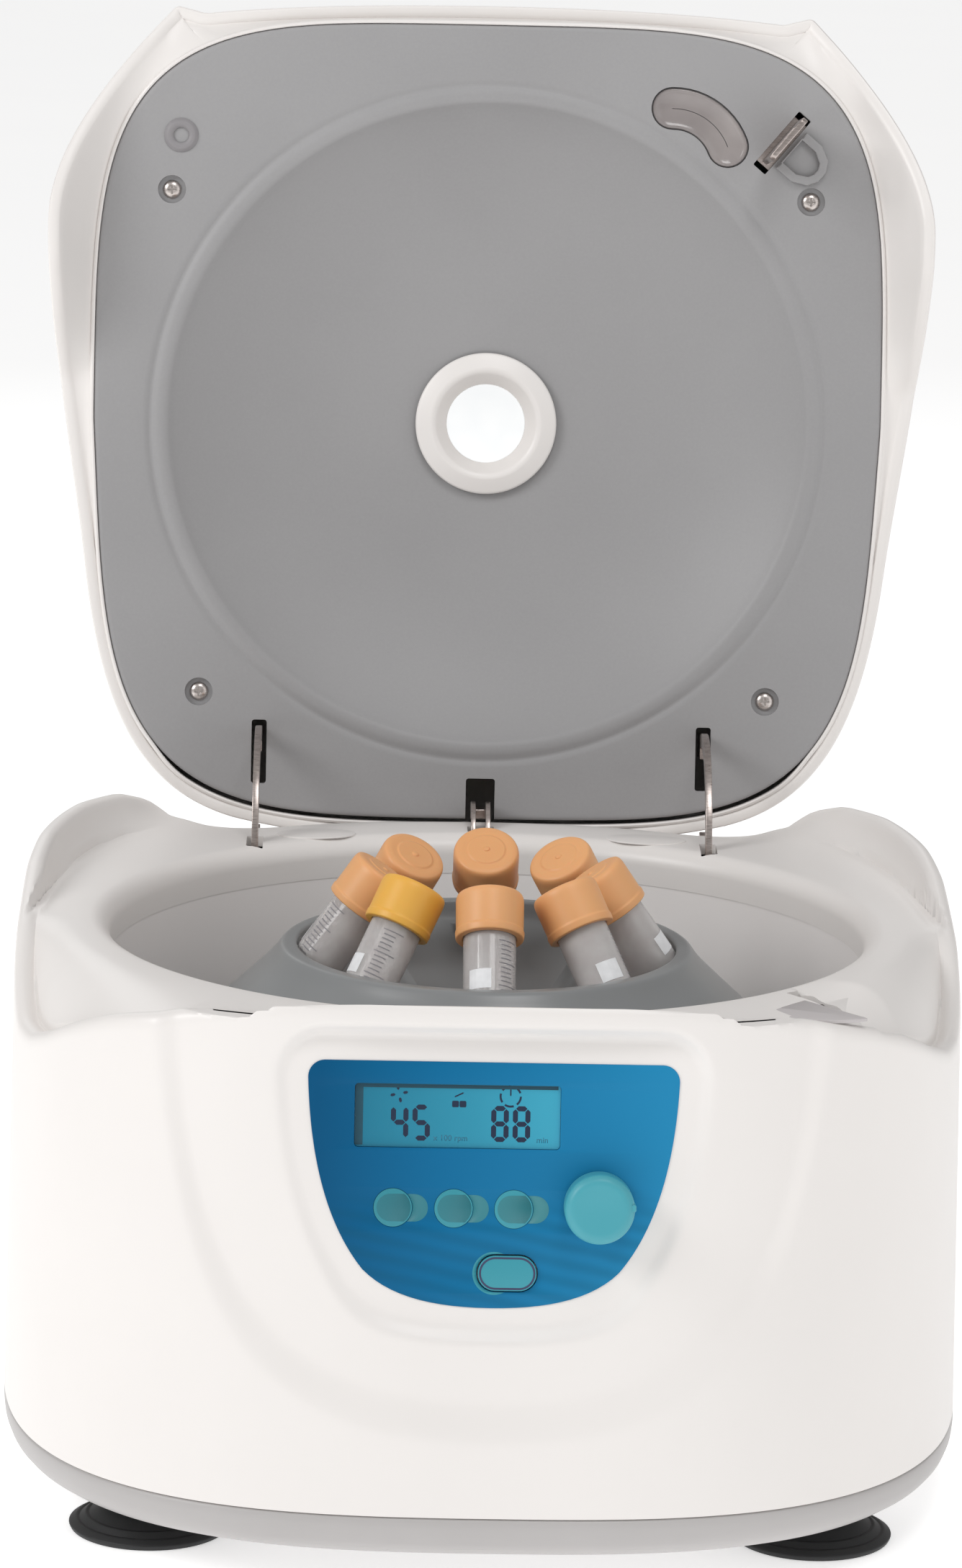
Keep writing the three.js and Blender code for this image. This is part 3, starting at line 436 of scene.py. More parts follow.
def lid_half():
    """Right half of the lid's outline, from the front middle round to the back middle."""
    pieces = [
        quadratic((0, -143), (60, -143), (98, -138.6), 34),
        quadratic((98, -138.6), (100, -138.5), (102, -139.3), 4),
        quadratic((107.3, -140.6), (109, -141), (110.2, -139.6), 6),
        bezier((110.2, -139.6), (122, -126), (150.5, -96), (150.5, -66), 44),
        bezier((150.5, -66), (150.5, -25), (142, 14), (137.5, 50), 40),
        bezier((137.5, 50), (131.5, 100), (118, 128), (85, 137), 40),
        quadratic((85, 137), (50, 145), (0, 145), 26),
    ]
    line = np.concatenate(pieces)
    keep = np.concatenate([[True], np.linalg.norm(np.diff(line, axis=0), axis=1) > 1e-6])
    return line[keep]


half_line = lid_half()
LID_MIDDLE = np.array([0, -2.0])
lid_loop = np.concatenate([half_line, half_line[-2:0:-1] * [-1, 1]]) + LID_MIDDLE
LID_PLANE = 172.5
SEAT_GAP = 0.8
RIM_STRIP = 4.2  # width of the lid's flat lower edge


def lid_edge(y):
    """Height of the closed lid's lower edge: over the crown in front, on the deck elsewhere."""
    edge = rim_height(y) + 1.5
    return np.where(y < -126, edge, np.minimum(LID_PLANE, edge))


top_rows = np.array(housing_rows)
near_rim = np.concatenate([np.zeros(len(top_rows) - 13), np.linspace(0, 1, 6), np.ones(7)])
top_rows = shape_front(top_rows, np.repeat(near_rim, len(columns)))
reached = np.hypot(top_rows[..., 0], top_rows[..., 1]) > 134
near_lid = top_rows[reached]
to_edge = distance_to(near_lid[:, :2], np.concatenate([lid_loop, lid_loop[:1]]))
seat = lid_edge(near_lid[:, 1])
up_to_liner = np.minimum(LID_PLANE, seat + 1.7 * np.maximum(to_edge - RIM_STRIP, 0))
down_to_liner = seat + (LID_PLANE - seat) * smooth((to_edge - RIM_STRIP) / 1.2)
beneath = np.where(seat > LID_PLANE, down_to_liner, up_to_liner)
beyond = seat + 18 * np.maximum(to_edge - 0.8, 0)
seat = np.where(within(near_lid[:, :2], lid_loop), beneath, beyond) - SEAT_GAP
near_lid[:, 2] = np.minimum(near_lid[:, 2], seat)
top_rows[reached] = near_lid

LATCH_AT = np.array([99.0, -100.0])
LATCH_TURN = math.radians(-50)
FINGER_DEPTH = 3.4
FINGER_RADIUS = 25
reach = top_rows[..., :2] - LATCH_AT
beside_slot = reach @ np.array([-math.sin(LATCH_TURN), math.cos(LATCH_TURN)])
dish = FINGER_DEPTH * np.clip(1 - (np.hypot(*np.moveaxis(reach, -1, 0)) / FINGER_RADIUS) ** 2, 0, 1)
off_lip = np.hypot(top_rows[..., 0], top_rows[..., 1]) - 128.5
top_rows[..., 2] -= dish * smooth((beside_slot - 2.4) / 1.2) * smooth(off_lip / 2.5)

wall_rows = []
for part in np.linspace(0, 1, 128):
    z = (rim - 4.2) * (1 - part) + (SEAM + 0.3) * part
    wall_rows.append(plan_point(columns, z))
wall_rows = shape_front(np.array(wall_rows))
inner_rows = []
for part in np.linspace(1, 0, 40):
    z = (rim - 7) * (1 - part) + (SEAM + 0.3) * part
    inner_rows.append(plan_point(columns, z, 3.0))
inner_rows = shape_front(np.array(inner_rows), behind=2.5)
under_deck = []
for start, end, part in (
    (step_share, 1, 0.6), (step_share, 1, 0.12), (0, step_share, 0.97), (0, step_share, 0.3),
):
    share = start + (end - start) * part
    point = ring_edge + (rim_foot - ring_edge) * share[:, None]
    top = deck_height(share) if end is step_share else np.minimum(deck_height(share), rim)
    point[:, 2] = np.minimum(DECK, top) - 2
    under_deck.append(point)
under_deck.append(ring_at(BOWL_RADIUS + 7, DECK - 5))
under_deck.append(ring_at(BOWL_RADIUS + 1.4, 158))
housing_skin = np.concatenate([top_rows, wall_rows, inner_rows, np.array(under_deck)])
housing = skin("housing_shell", to_frame(housing_skin), white_abs, sharp=50)
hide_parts("housing")
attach(housing, "root")


# ---- Base tray -----------------------------------------------------------------------------------
# The shallow grey ABS tray that closes the body from below. Its edge meets the housing in a fine seam
# and rolls under to a flat floor.
tray_abs = moulded("warm grey moulded ABS", "#B9B6B5", "#B2AFAE", 0.42, 0.05)
TRAY_FLOOR = tray_low.z / MM
tray_columns = even_columns(4.0, 5.0)


def tray_ring(z, inset):
    return plan_point(tray_columns, np.full(len(tray_columns), float(z)), inset)


tray_edge = [
    (SEAM, 3.2), (SEAM, 0.9), (SEAM - 0.25, 0.35), (SEAM - 0.9, 0.05), (SEAM - 3, 0), (SEAM - 5.5, 0.3),
    (SEAM - 8, 1.3), (SEAM - 10, 3), (SEAM - 11.8, 5.6), (SEAM - 13.2, 9), (TRAY_FLOOR + 0.5, 13),
    (TRAY_FLOOR, 17), (TRAY_FLOOR, 60), (TRAY_FLOOR, 140),
]
tray_inside = [(TRAY_FLOOR + 3, 140), (TRAY_FLOOR + 3, 16), (19, 5.5), (23, 3.4)]
tray_rows = [tray_ring(z, inset) for z, inset in tray_inside + tray_edge]
for row in (0, -1):
    tray_rows[row] = tray_rows[row] * [0, 0, 1]
tray_rows.insert(1, tray_ring(TRAY_FLOOR + 3, 60))
tray = skin("tray_shell", to_frame(tray_rows), tray_abs, sharp=50)
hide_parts("base_tray")
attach(tray, "root")


# ---- Suction feet --------------------------------------------------------------------------------
# Four black rubber suction feet on studs through the tray. Each is a flared cup with moulded rings; one
# is turned and then repeated on the four stud points.
def rounded(points, steps=5):
    """A polyline with its corners rounded: each point is (a, b) or (a, b, radius)."""
    line = [np.array(points[0][:2], float)]
    for before, point, after in zip(points, points[1:], points[2:]):
        corner = np.array(point[:2], float)
        radius = point[2] if len(point) > 2 else 0
        if not radius:
            line.append(corner)
            continue
        back = np.array(before[:2], float) - corner
        on = np.array(after[:2], float) - corner
        reach_back, reach_on = np.linalg.norm(back), np.linalg.norm(on)
        a = corner + back / reach_back * min(radius, reach_back * 0.48)
        b = corner + on / reach_on * min(radius, reach_on * 0.48)
        for t in np.linspace(0, 1, steps + 1):
            line.append(a * (1 - t) ** 2 + 2 * corner * t * (1 - t) + b * t * t)
    line.append(np.array(points[-1][:2], float))
    return np.array(line)


def turned(name, profile, material, sides=64, place=None, sharp=35, middle=(0, 0), draw=to_frame):
    """A body of revolution from a (radius, height) line in millimetres, put in place in metres."""
    angle = np.arange(sides) / sides * 2 * np.pi
    rows = np.array([
        np.column_stack([
            middle[0] + r * np.cos(angle), middle[1] + r * np.sin(angle), np.full(sides, z),
        ]) for r, z in profile
    ])
    if place is not None:
        matrix = np.array(place)
        rows = rows @ matrix[:3, :3].T + matrix[:3, 3]
    return skin(name, draw(rows), material, sharp=sharp)


def repeater(name, material):
    """A node tree that sets copies of one piece on the points of a mesh, turned by an attribute."""
    tree = bpy.data.node_groups.new(name, "GeometryNodeTree")
    face = tree.interface
    face.new_socket("Points", in_out="INPUT", socket_type="NodeSocketGeometry")
    face.new_socket("Piece", in_out="INPUT", socket_type="NodeSocketObject")
    face.new_socket("Scale", in_out="INPUT", socket_type="NodeSocketFloat")
    face.new_socket("Copies", in_out="OUTPUT", socket_type="NodeSocketGeometry")
    given = tree.nodes.new("NodeGroupInput")
    result = tree.nodes.new("NodeGroupOutput")
    piece = add_node(tree, "GeometryNodeObjectInfo", links={"Object": given.outputs["Piece"]})
    turn = add_node(tree, "GeometryNodeInputNamedAttribute", {"Name": "turn"}, data_type="FLOAT_VECTOR")
    spread = add_node(
        tree, "GeometryNodeInstanceOnPoints",
        links={
            "Points": given.outputs["Points"],
            "Instance": piece.outputs["Geometry"],
            "Rotation": turn.outputs["Attribute"],
            "Scale": given.outputs["Scale"],
        },
    )
    real = add_node(tree, "GeometryNodeRealizeInstances", links={"Geometry": spread.outputs["Instances"]})
    coat = add_node(
        tree, "GeometryNodeSetMaterial", {"Material": material}, {"Geometry": real.outputs["Geometry"]}
    )
    tree.links.new(coat.outputs["Geometry"], result.inputs["Copies"])
    return tree


def repeat(name, piece, points, turns, material):
    """Copies of a piece, drawn at the origin, on points in metres with turns in radians, as one mesh."""
    mesh = bpy.data.meshes.new(name + "_points")
    mesh.from_pydata([tuple(p) for p in points], [], [])
    attribute = mesh.attributes.new("turn", "FLOAT_VECTOR", "POINT")
    attribute.data.foreach_set("vector", np.array(turns, float).ravel())
    carrier = bpy.data.objects.new(name + "_points", mesh)
    scene.collection.objects.link(carrier)
    modifier = carrier.modifiers.new("copies", "NODES")
    modifier.node_group = repeater(name + "_tree", material)
    inputs = {
        item.name: item.identifier
        for item in modifier.node_group.interface.items_tree
        if item.item_type == "SOCKET" and item.in_out == "INPUT"
    }
    modifier[inputs["Piece"]] = piece
    modifier[inputs["Scale"]] = 1.0
    depsgraph = bpy.context.evaluated_depsgraph_get()
    result = bpy.data.meshes.new_from_object(carrier.evaluated_get(depsgraph))
    result.name = name
    bpy.data.objects.remove(carrier)
    bpy.data.objects.remove(piece)
    copies = bpy.data.objects.new(name, result)
    scene.collection.objects.link(copies)
    return copies


AT_ORIGIN = np.eye(4)
AT_ORIGIN[:3, 3] = [-spindle.x / MM, -spindle.y / MM, 0]
black_rubber = moulded("black moulded rubber", "#2C2D2E", "#222324", 0.55, 0.15, 900)
foot_line = rounded([
    (0, 2.6), (17, 2.6, 1), (20, 0.6, 0.5), (21.5, 0), (24.2, 0, 0.6), (25, 1.7, 0.6), (22.6, 3.1, 0.5),
    (21.6, 2.9, 0.3), (19.6, 4.6, 0.5), (18.6, 4.4, 0.3), (15.4, 6.7, 1), (12.4, 8.2, 1.5),
    (11.2, 12.3, 0.4), (4, 12.3), (4, 18), (0, 18),
])
one_foot = turned("foot_cup", foot_line, black_rubber, 72, AT_ORIGIN)
FOOT_NODES = ["foot_front_left", "foot_front_right", "foot_rear_left", "foot_rear_right"]
foot_middles = [(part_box(node)[0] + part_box(node)[1]) / 2 for node in FOOT_NODES]
feet = repeat(
    "suction_feet", one_foot, [(p.x, p.y, 0) for p in foot_middles], [(0, 0, 0)] * 4, black_rubber
)
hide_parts(*FOOT_NODES)
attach(feet, "root")


# ---- Chamber bowl --------------------------------------------------------------------------------
# The deep white bowl that the rotor spins in. Its wall starts under the housing's rolled lip and turns
# into a level floor with a hole for the shaft's gaiter.
BOWL_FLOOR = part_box("chamber_bowl")[0].z / MM + 1.5
GAITER_HOLE = 29.3
bowl_line = rounded([
    (GAITER_HOLE, BOWL_FLOOR), (BOWL_RADIUS + 0.2, BOWL_FLOOR, 24), (BOWL_RADIUS + 0.2, 159.6),
    (BOWL_RADIUS + 1.2, 159.6), (BOWL_RADIUS + 1.6, BOWL_FLOOR - 1.5, 26),
    (GAITER_HOLE, BOWL_FLOOR - 1.5), (GAITER_HOLE, BOWL_FLOOR),
], 14)
bowl_abs = moulded("smooth white chamber moulding", "#F7F3F1", "#F3EFED", 0.3, 0.02)
bowl = turned("chamber_liner", bowl_line, bowl_abs, 192)
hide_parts("chamber_bowl")
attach(bowl, "root")


# ---- Rotor ---------------------------------------------------------------------------------------
# The grey angle rotor: a steep cone with a rounded rim round a dished middle, drilled with eight
# slanting seats. It is turned in one piece, and the seats are then cut through it.
SEATS = 8
TUBE_LEAN = math.radians(35)
CAP_RADIUS_ON_ROTOR = 36.5
CAP_HEIGHT = 180.5
CAP_TO_TIP = 112.0
TUBE_RADIUS = 8.3
rotor_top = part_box("rotor_body")[1].z / MM
rotor_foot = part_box("rotor_body")[0].z / MM


def seat_turn(seat):
    """Rotation of a tube in its seat: leaned inwards, then swung round the spindle."""
    return (0, -TUBE_LEAN, seat * 2 * math.pi / SEATS)


def seat_point(seat):
    """Tip of the tube in a seat, in metres in the frame."""
    reach = CAP_RADIUS_ON_ROTOR + CAP_TO_TIP * math.sin(TUBE_LEAN)
    height = CAP_HEIGHT - CAP_TO_TIP * math.cos(TUBE_LEAN)
    swing = seat * 2 * math.pi / SEATS
    return to_frame([reach * math.cos(swing), reach * math.sin(swing), height])


def carve(piece, *cutters, solver="EXACT"):
    """Cuts closed pieces out of a piece, which stays a plain mesh."""
    for cutter in cutters:
        modifier = piece.modifiers.new("cut", "BOOLEAN")
        modifier.operation = "DIFFERENCE"
        modifier.solver = solver
        modifier.object = cutter
    depsgraph = bpy.context.evaluated_depsgraph_get()
    cut = bpy.data.meshes.new_from_object(piece.evaluated_get(depsgraph))
    piece.modifiers.clear()
    old = piece.data
    piece.data = cut
    bpy.data.meshes.remove(old)
    for cutter in cutters:
        bpy.data.objects.remove(cutter)
    return piece


rotor_grey = moulded("satin grey rotor coating", "#8D8F90", "#858788", 0.3, 0.03)
rotor_line = rounded([
    (6.3, 104), (15, 104), (15, 119.5), (46, 141), (87, rotor_foot, 2), (110, rotor_foot, 2),
    (111, 112, 3), (107.5, 121, 6), (69, rotor_top - 5.5, 5), (65.2, rotor_top, 1.6), (60.6, rotor_top, 1.2),
    (59.8, 157, 2.5), (52, 152.2, 2), (15, 126.3, 3), (13, 131, 0.8), (6.3, 131), (6.3, 104),
])
rotor = turned("rotor_cone", rotor_line, rotor_grey, 160)
seat_line = [(0, -0.6), (2.2, -0.6), (TUBE_RADIUS + 0.5, 24), (TUBE_RADIUS + 0.7, 130), (0, 130)]
one_seat = turned("seat_bore", seat_line, rotor_grey, 40, AT_ORIGIN)
seat_cutter = repeat(
    "seat_bores", one_seat, [seat_point(i) for i in range(SEATS)],
    [seat_turn(i) for i in range(SEATS)], rotor_grey,
)
carve(rotor, seat_cutter)
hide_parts("rotor_body")
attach(rotor, "rotor")

nut_line = rounded([
    (4.4, 131.4), (12, 131.4), (13, 134, 0.8), (13, 139, 1.5), (10, 142.5, 1.5), (4.4, 142.5), (4.4, 131.4),
])
nut = turned("rotor_nut_cap", nut_line, black_rubber, 72)
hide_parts("rotor_nut")
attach(nut, "rotor")


# ---- Sample tubes --------------------------------------------------------------------------------
# Eight 15 ml screw-cap tubes blown in translucent polypropylene, with printed graduations and a white
# writing patch. The caps are moulded polyethylene, seven orange and one yellow.
CAP_FOOT = 103.5
CAP_TOP = 119.0
polypropylene, tree, shader, where = start_material("translucent polypropylene")
cloud = add_node(tree, "ShaderNodeTexNoise", {"Scale": 160.0, "Detail": 2.0}, {"Vector": where})
tree.links.new(
    colour_ramp(tree, cloud.outputs["Fac"], [(0.35, "#F2EEED"), (0.7, "#FBF9F8")]),
    shader.inputs["Base Color"],
)
vary_roughness(tree, shader, cloud.outputs["Fac"], 0.12, 0.26)
shader.inputs["Transmission Weight"].default_value = 0.6
shader.inputs["Coat Weight"].default_value = 0.6
shader.inputs["IOR"].default_value = 1.12
tube_line = rounded([
    (0, 0, 0), (1.6, 0, 0.8), (TUBE_RADIUS, 24, 3), (TUBE_RADIUS, 110, 0.4), (TUBE_RADIUS - 1, 110, 0.4),
    (TUBE_RADIUS - 1, 25, 3), (1.2, 2.4, 0.6), (0, 1.6),
])
one_tube = turned("tube", tube_line, polypropylene, 40, AT_ORIGIN)
seat_points = [seat_point(i) for i in range(SEATS)]
seat_turns = [seat_turn(i) for i in range(SEATS)]
tubes = repeat("tube_bodies", one_tube, seat_points, seat_turns, polypropylene)
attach(tubes, "rotor")


def cap_plastic(name, light, dark):
    material = moulded(name, light, dark, 0.42, 0.06, 700)
    material.node_tree.nodes["Principled BSDF"].inputs["Subsurface Weight"].default_value = 0.15
    material.node_tree.nodes["Principled BSDF"].inputs["Subsurface Scale"].default_value = 0.003
    return material


def one_cap(material):
    line = rounded([
        (TUBE_RADIUS + 0.1, CAP_FOOT + 6), (TUBE_RADIUS + 0.2, CAP_FOOT, 0.3), (10.7, CAP_FOOT, 0.5),
        (10.9, CAP_FOOT + 2.2, 0.3), (10.6, CAP_FOOT + 2.8, 0.3), (10.7, CAP_TOP - 0.9, 2.6),
        (8.4, CAP_TOP - 0.4, 0.6), (6.4, CAP_TOP - 0.5, 0.3), (5.9, CAP_TOP - 0.1, 0.3),
        (1.1, CAP_TOP - 0.2, 0.2), (0.9, CAP_TOP + 0.2, 0.3), (0, CAP_TOP + 0.3),
    ])
    inner = [(0, CAP_TOP - 2.5), (TUBE_RADIUS + 0.1, CAP_TOP - 2.5)]
    return turned("cap", np.concatenate([inner, line]), material, 56, AT_ORIGIN)


cap_orange = cap_plastic("orange moulded polyethylene", "#F3B67E", "#EDAE75")
cap_yellow = cap_plastic("yellow moulded polyethylene", "#F8BE55", "#F2B54B")
YELLOW_SEAT = 5
for name, plastic, seats in (
    ("orange_caps", cap_orange, [i for i in range(SEATS) if i != YELLOW_SEAT]),
    ("yellow_cap", cap_yellow, [YELLOW_SEAT]),
):
    caps = repeat(
        name, one_cap(plastic), [seat_points[i] for i in seats], [seat_turns[i] for i in seats], plastic
    )
    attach(caps, "rotor")
    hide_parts(*[f"tube_{i + 1}" for i in seats])


def printed(name, code, roughness=0.5):
    """Screen-printed ink, slightly uneven in density."""
    material, tree, shader, where = start_material(name)
    patch = add_node(tree, "ShaderNodeTexNoise", {"Scale": 300.0, "Detail": 2.0}, {"Vector": where})
    dark = "#" + "".join(f"{int(int(code[i:i + 2], 16) * 0.95):02X}" for i in (1, 3, 5))
    tree.links.new(
        colour_ramp(tree, patch.outputs["Fac"], [(0.3, dark), (0.7, code)]), shader.inputs["Base Color"]
    )
    vary_roughness(tree, shader, patch.outputs["Fac"], roughness - 0.05, roughness + 0.05)
    return material


def wrapped_patch(marks, radius, material):
    """Printed marks on a tube: each is (middle angle, half angle, low, high)."""
    bm = bmesh.new()
    for middle, half, low, high in marks:
        rows = []
        for z in (low, high):
            angles = np.linspace(middle - half, middle + half, 7)
            line = [(radius * MM * math.cos(a), radius * MM * math.sin(a), z * MM) for a in angles]
            rows.append([bm.verts.new(point) for point in line])
        for i in range(6):
            bm.faces.new((rows[0][i], rows[0][i + 1], rows[1][i + 1], rows[1][i]))
    mesh = bpy.data.meshes.new("marks")
    bm.to_mesh(mesh)
    bm.free()
    mesh.materials.append(material)
    piece = bpy.data.objects.new("marks", mesh)
    scene.collection.objects.link(piece)
    return piece


grey_ink = printed("grey graduation ink", "#8E8B90")
white_ink = printed("white writing patch ink", "#F7F8FA")
scale_marks = []
for step in range(16):
    z = 78 + step * 1.5
    wide = 0.42 if step % 5 == 0 else 0.24
    scale_marks.append((0.55 + wide / 2, wide, z, z + 0.35))
marks = wrapped_patch(scale_marks, TUBE_RADIUS + 0.06, grey_ink)
graduations = repeat("tube_graduations", marks, seat_points, seat_turns, grey_ink)
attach(graduations, "rotor")
patch_marks = [(-0.4, 0.45, 84.5, 91)]
patches = wrapped_patch(patch_marks, TUBE_RADIUS + 0.06, white_ink)
writing_patches = repeat("tube_writing_patches", patches, seat_points, seat_turns, white_ink)
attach(writing_patches, "rotor")


# ---- Lid shell -----------------------------------------------------------------------------------
# The white ABS lid, moulded in one piece and drawn closed, then swung up about the hinge to where it
# stands open. Its rim follows the deck's saddle, and an inner wall slopes from the rim to the liner.
hinge = next(joint for joint in frame["joints"] if joint["name"] == "lid_hinge")
hinge_at = (np.array(hinge["pos_m"]) - [spindle.x, spindle.y, 0]) / MM * [0, 1, 1]
OPEN_TURN = -math.radians(98)
LID_TOP = 222.0
DISH_RADIUS = 110.0
DISH_DEPTH = 29.0
WINDOW_HOLE = 19.0


def opened(points):
    """Millimetre points drawn with the lid closed, swung up to where the lid stands open, in metres."""
    reach = np.asarray(points, float) - hinge_at
    c, s = math.cos(OPEN_TURN), math.sin(OPEN_TURN)
    y, z = reach[..., 1] * c - reach[..., 2] * s, reach[..., 1] * s + reach[..., 2] * c
    return to_frame(np.stack([reach[..., 0], y, z], -1) + hinge_at)


along = np.roll(lid_loop, -1, 0) - np.roll(lid_loop, 1, 0)
lid_inward = np.stack([-along[:, 1], along[:, 0]], -1) / np.linalg.norm(along, axis=1)[:, None]
lid_bearing = np.arctan2(lid_loop[:, 1] - LID_MIDDLE[1], lid_loop[:, 0])
lid_rim = lid_edge(lid_loop[:, 1])


def liner_point(bearing, inset=0.0):
    """The liner's outline, a rounded square that narrows a little towards the hinge."""
    angle = np.linspace(-np.pi, np.pi, 4001)
    bulge = 2 / 4.2
    y = (136 - inset) * np.sign(np.sin(angle)) * np.abs(np.sin(angle)) ** bulge
    x = (135 - inset) * np.sign(np.cos(angle)) * np.abs(np.cos(angle)) ** bulge
    x = x * (1 - 0.0004 * np.maximum(y, 0))
    order = np.argsort(np.arctan2(y, x), kind="stable")
    turn = np.arctan2(y, x)[order]
    return np.stack([np.interp(bearing, turn, x[order]), np.interp(bearing, turn, y[order])], -1) + LID_MIDDLE


def lid_ring(inset, z):
    return np.column_stack([lid_loop + lid_inward * inset, np.broadcast_to(z, len(lid_loop))])


def toward_middle(inset, z):
    reach = lid_loop - LID_MIDDLE
    share = 1 - inset / np.linalg.norm(reach, axis=1)[:, None]
    return np.column_stack([LID_MIDDLE + reach * share, np.full(len(lid_loop), float(z))])


def window_ring(radius, z):
    circle = np.stack([np.cos(lid_bearing), np.sin(lid_bearing)], -1) * radius
    return np.column_stack([circle + LID_MIDDLE, np.full(len(lid_loop), float(z))])


liner_edge = liner_point(lid_bearing)
edge_reach = lid_loop - liner_edge
edge_out = edge_reach / np.linalg.norm(edge_reach, axis=1)[:, None]
hinge_gap = 1.4 * smooth((lid_loop[:, 1, None] - 112) / 14)
lid_rows = [
    np.column_stack([liner_edge + edge_out * (step + hinge_gap), np.full(len(lid_loop), z)])
    for step, z in (
        (0.06, LID_PLANE + 9), (0.06, LID_PLANE + 0.6), (0.2, LID_PLANE - 0.1), (0.65, LID_PLANE - 0.3),
        (1.2, LID_PLANE - 0.1), (1.5, LID_PLANE + 0.35),
    )
]
bead_foot = lid_rows[-1] + [0, 0, 0.3]
strip_edge = lid_ring(4.2, lid_rim + 0.9)
for share in (0, 0.12, 0.3, 0.5, 0.7, 0.88, 1):
    lid_rows.append(bead_foot + (strip_edge - bead_foot) * share + [0, 0, 2.2 * share * (1 - share)])
for inset, rise in ((3.6, 0.35), (2.6, 0.15), (1.3, 0), (0.5, 0.25), (0.1, 0.9), (0, 2.2)):
    lid_rows.append(lid_ring(inset, lid_rim + rise))
for share in np.linspace(0.15, 1, 8):
    lid_rows.append(lid_ring(share, lid_rim + 2.2 + (204 - lid_rim - 2.2) * share))
for inset, z in ((2, 207), (3.8, 210), (6, 212.3), (9.5, 214.8), (15, 217.4), (24, 219.4), (38, 220.8)):
    lid_rows.append(toward_middle(inset, z))
for share in (0.3, 0.6, 0.85):
    middle = lid_rows[-1] + (window_ring(WINDOW_HOLE, LID_TOP) - lid_rows[-1]) * share
    middle[:, 2] = 220.8 + (LID_TOP - 220.8) * share
    lid_rows.append(middle)
lid_rows += [window_ring(WINDOW_HOLE, LID_TOP), window_ring(WINDOW_HOLE, LID_TOP - 3)]
for inset, z in ((40, 217.6), (18, 213.5), (9, 207), (4.4, 198)):
    lid_rows.append(toward_middle(inset, z))
lid_rows.append(lid_ring(4, 184))
lid_rows.append(lid_rows[0].copy())
lid_shell = skin("lid_moulding", opened(lid_rows), white_abs, sharp=38)
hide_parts("lid_shell")
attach(lid_shell, "lid")


# ---- Lid liner -----------------------------------------------------------------------------------
# The grey liner closes the lid from below. It is one vacuum-formed sheet of fleck-grey ABS, flat round
# a deep dish that clears the tube caps, with slots cut for the hinge arms and for the striker.
liner_abs, tree, shader, where = start_material("fleck grey formed ABS")
drift = add_node(tree, "ShaderNodeTexNoise", {"Scale": 9.0, "Detail": 3.0}, {"Vector": where})
fleck = add_node(tree, "ShaderNodeTexNoise", {"Scale": 1100.0, "Detail": 2.0}, {"Vector": where})
mixed = add_node(
    tree, "ShaderNodeMath", {1: 0.35}, {0: fleck.outputs["Fac"], 2: drift.outputs["Fac"]},
    operation="MULTIPLY_ADD",
)
tree.links.new(
    colour_ramp(tree, mixed.outputs["Value"], [(0.5, "#9A999A"), (0.85, "#A09FA0")]),
    shader.inputs["Base Color"],
)
vary_roughness(tree, shader, mixed.outputs["Value"], 0.38, 0.52)
bump = add_node(
    tree, "ShaderNodeBump", {"Strength": 0.04, "Distance": 0.0002}, {"Height": fleck.outputs["Fac"]}
)
tree.links.new(bump.outputs["Normal"], shader.inputs["Normal"])

LINER_THICKNESS = 3.5
SHEET = 2.6
liner_bearing = np.linspace(-np.pi, np.pi, 280, endpoint=False)
liner_ray = np.stack([np.cos(liner_bearing), np.sin(liner_bearing)], -1)


def liner_outline(inset, z):
    return np.column_stack([liner_point(liner_bearing, inset), np.full(len(liner_bearing), float(z))])


def dish_ring(radius, z):
    return np.column_stack([liner_ray * radius + LID_MIDDLE, np.full(len(liner_bearing), float(z))])


def dish_height(radius):
    return LID_PLANE + DISH_DEPTH * (1 - (radius / DISH_RADIUS) ** 2.4) ** 0.92


groove = [
    (118.5, 0), (117.2, 0.12), (116.4, 0.55), (115.8, 0.7), (115.1, 0.5), (114.2, 0), (112.8, -0.35),
    (111.2, -0.3), (110, 0.05), (109.2, 0.6),
]
dish_line = [(radius, dish_height(radius)) for radius in (108.3, 107, 105, 102.5, 99.5, 96, 91, 85, 78)]
dish_line += [(radius, dish_height(radius)) for radius in (70, 61, 52, 43, 34, 27, 20)]
liner_rows = [liner_outline(inset, LID_PLANE + z) for inset, z in (
    (0.2, LINER_THICKNESS), (0, LINER_THICKNESS - 0.4), (0, 1.1), (0.25, 0.4), (0.8, 0.05), (1.8, 0),
)]
face_ring = dish_ring(118.5, LID_PLANE)
for share in (0.33, 0.66):
    liner_rows.append(liner_rows[5] + (face_ring - liner_rows[5]) * share)
liner_rows += [dish_ring(radius, LID_PLANE + z) for radius, z in groove]
liner_rows += [dish_ring(radius, z) for radius, z in dish_line]
liner_rows += [dish_ring(radius + 0.9, z + SHEET) for radius, z in dish_line[::-1]]
liner_rows += [dish_ring(120, LID_PLANE + LINER_THICKNESS), liner_rows[0].copy()]
liner = skin("liner_sheet", opened(liner_rows), liner_abs, sharp=50)


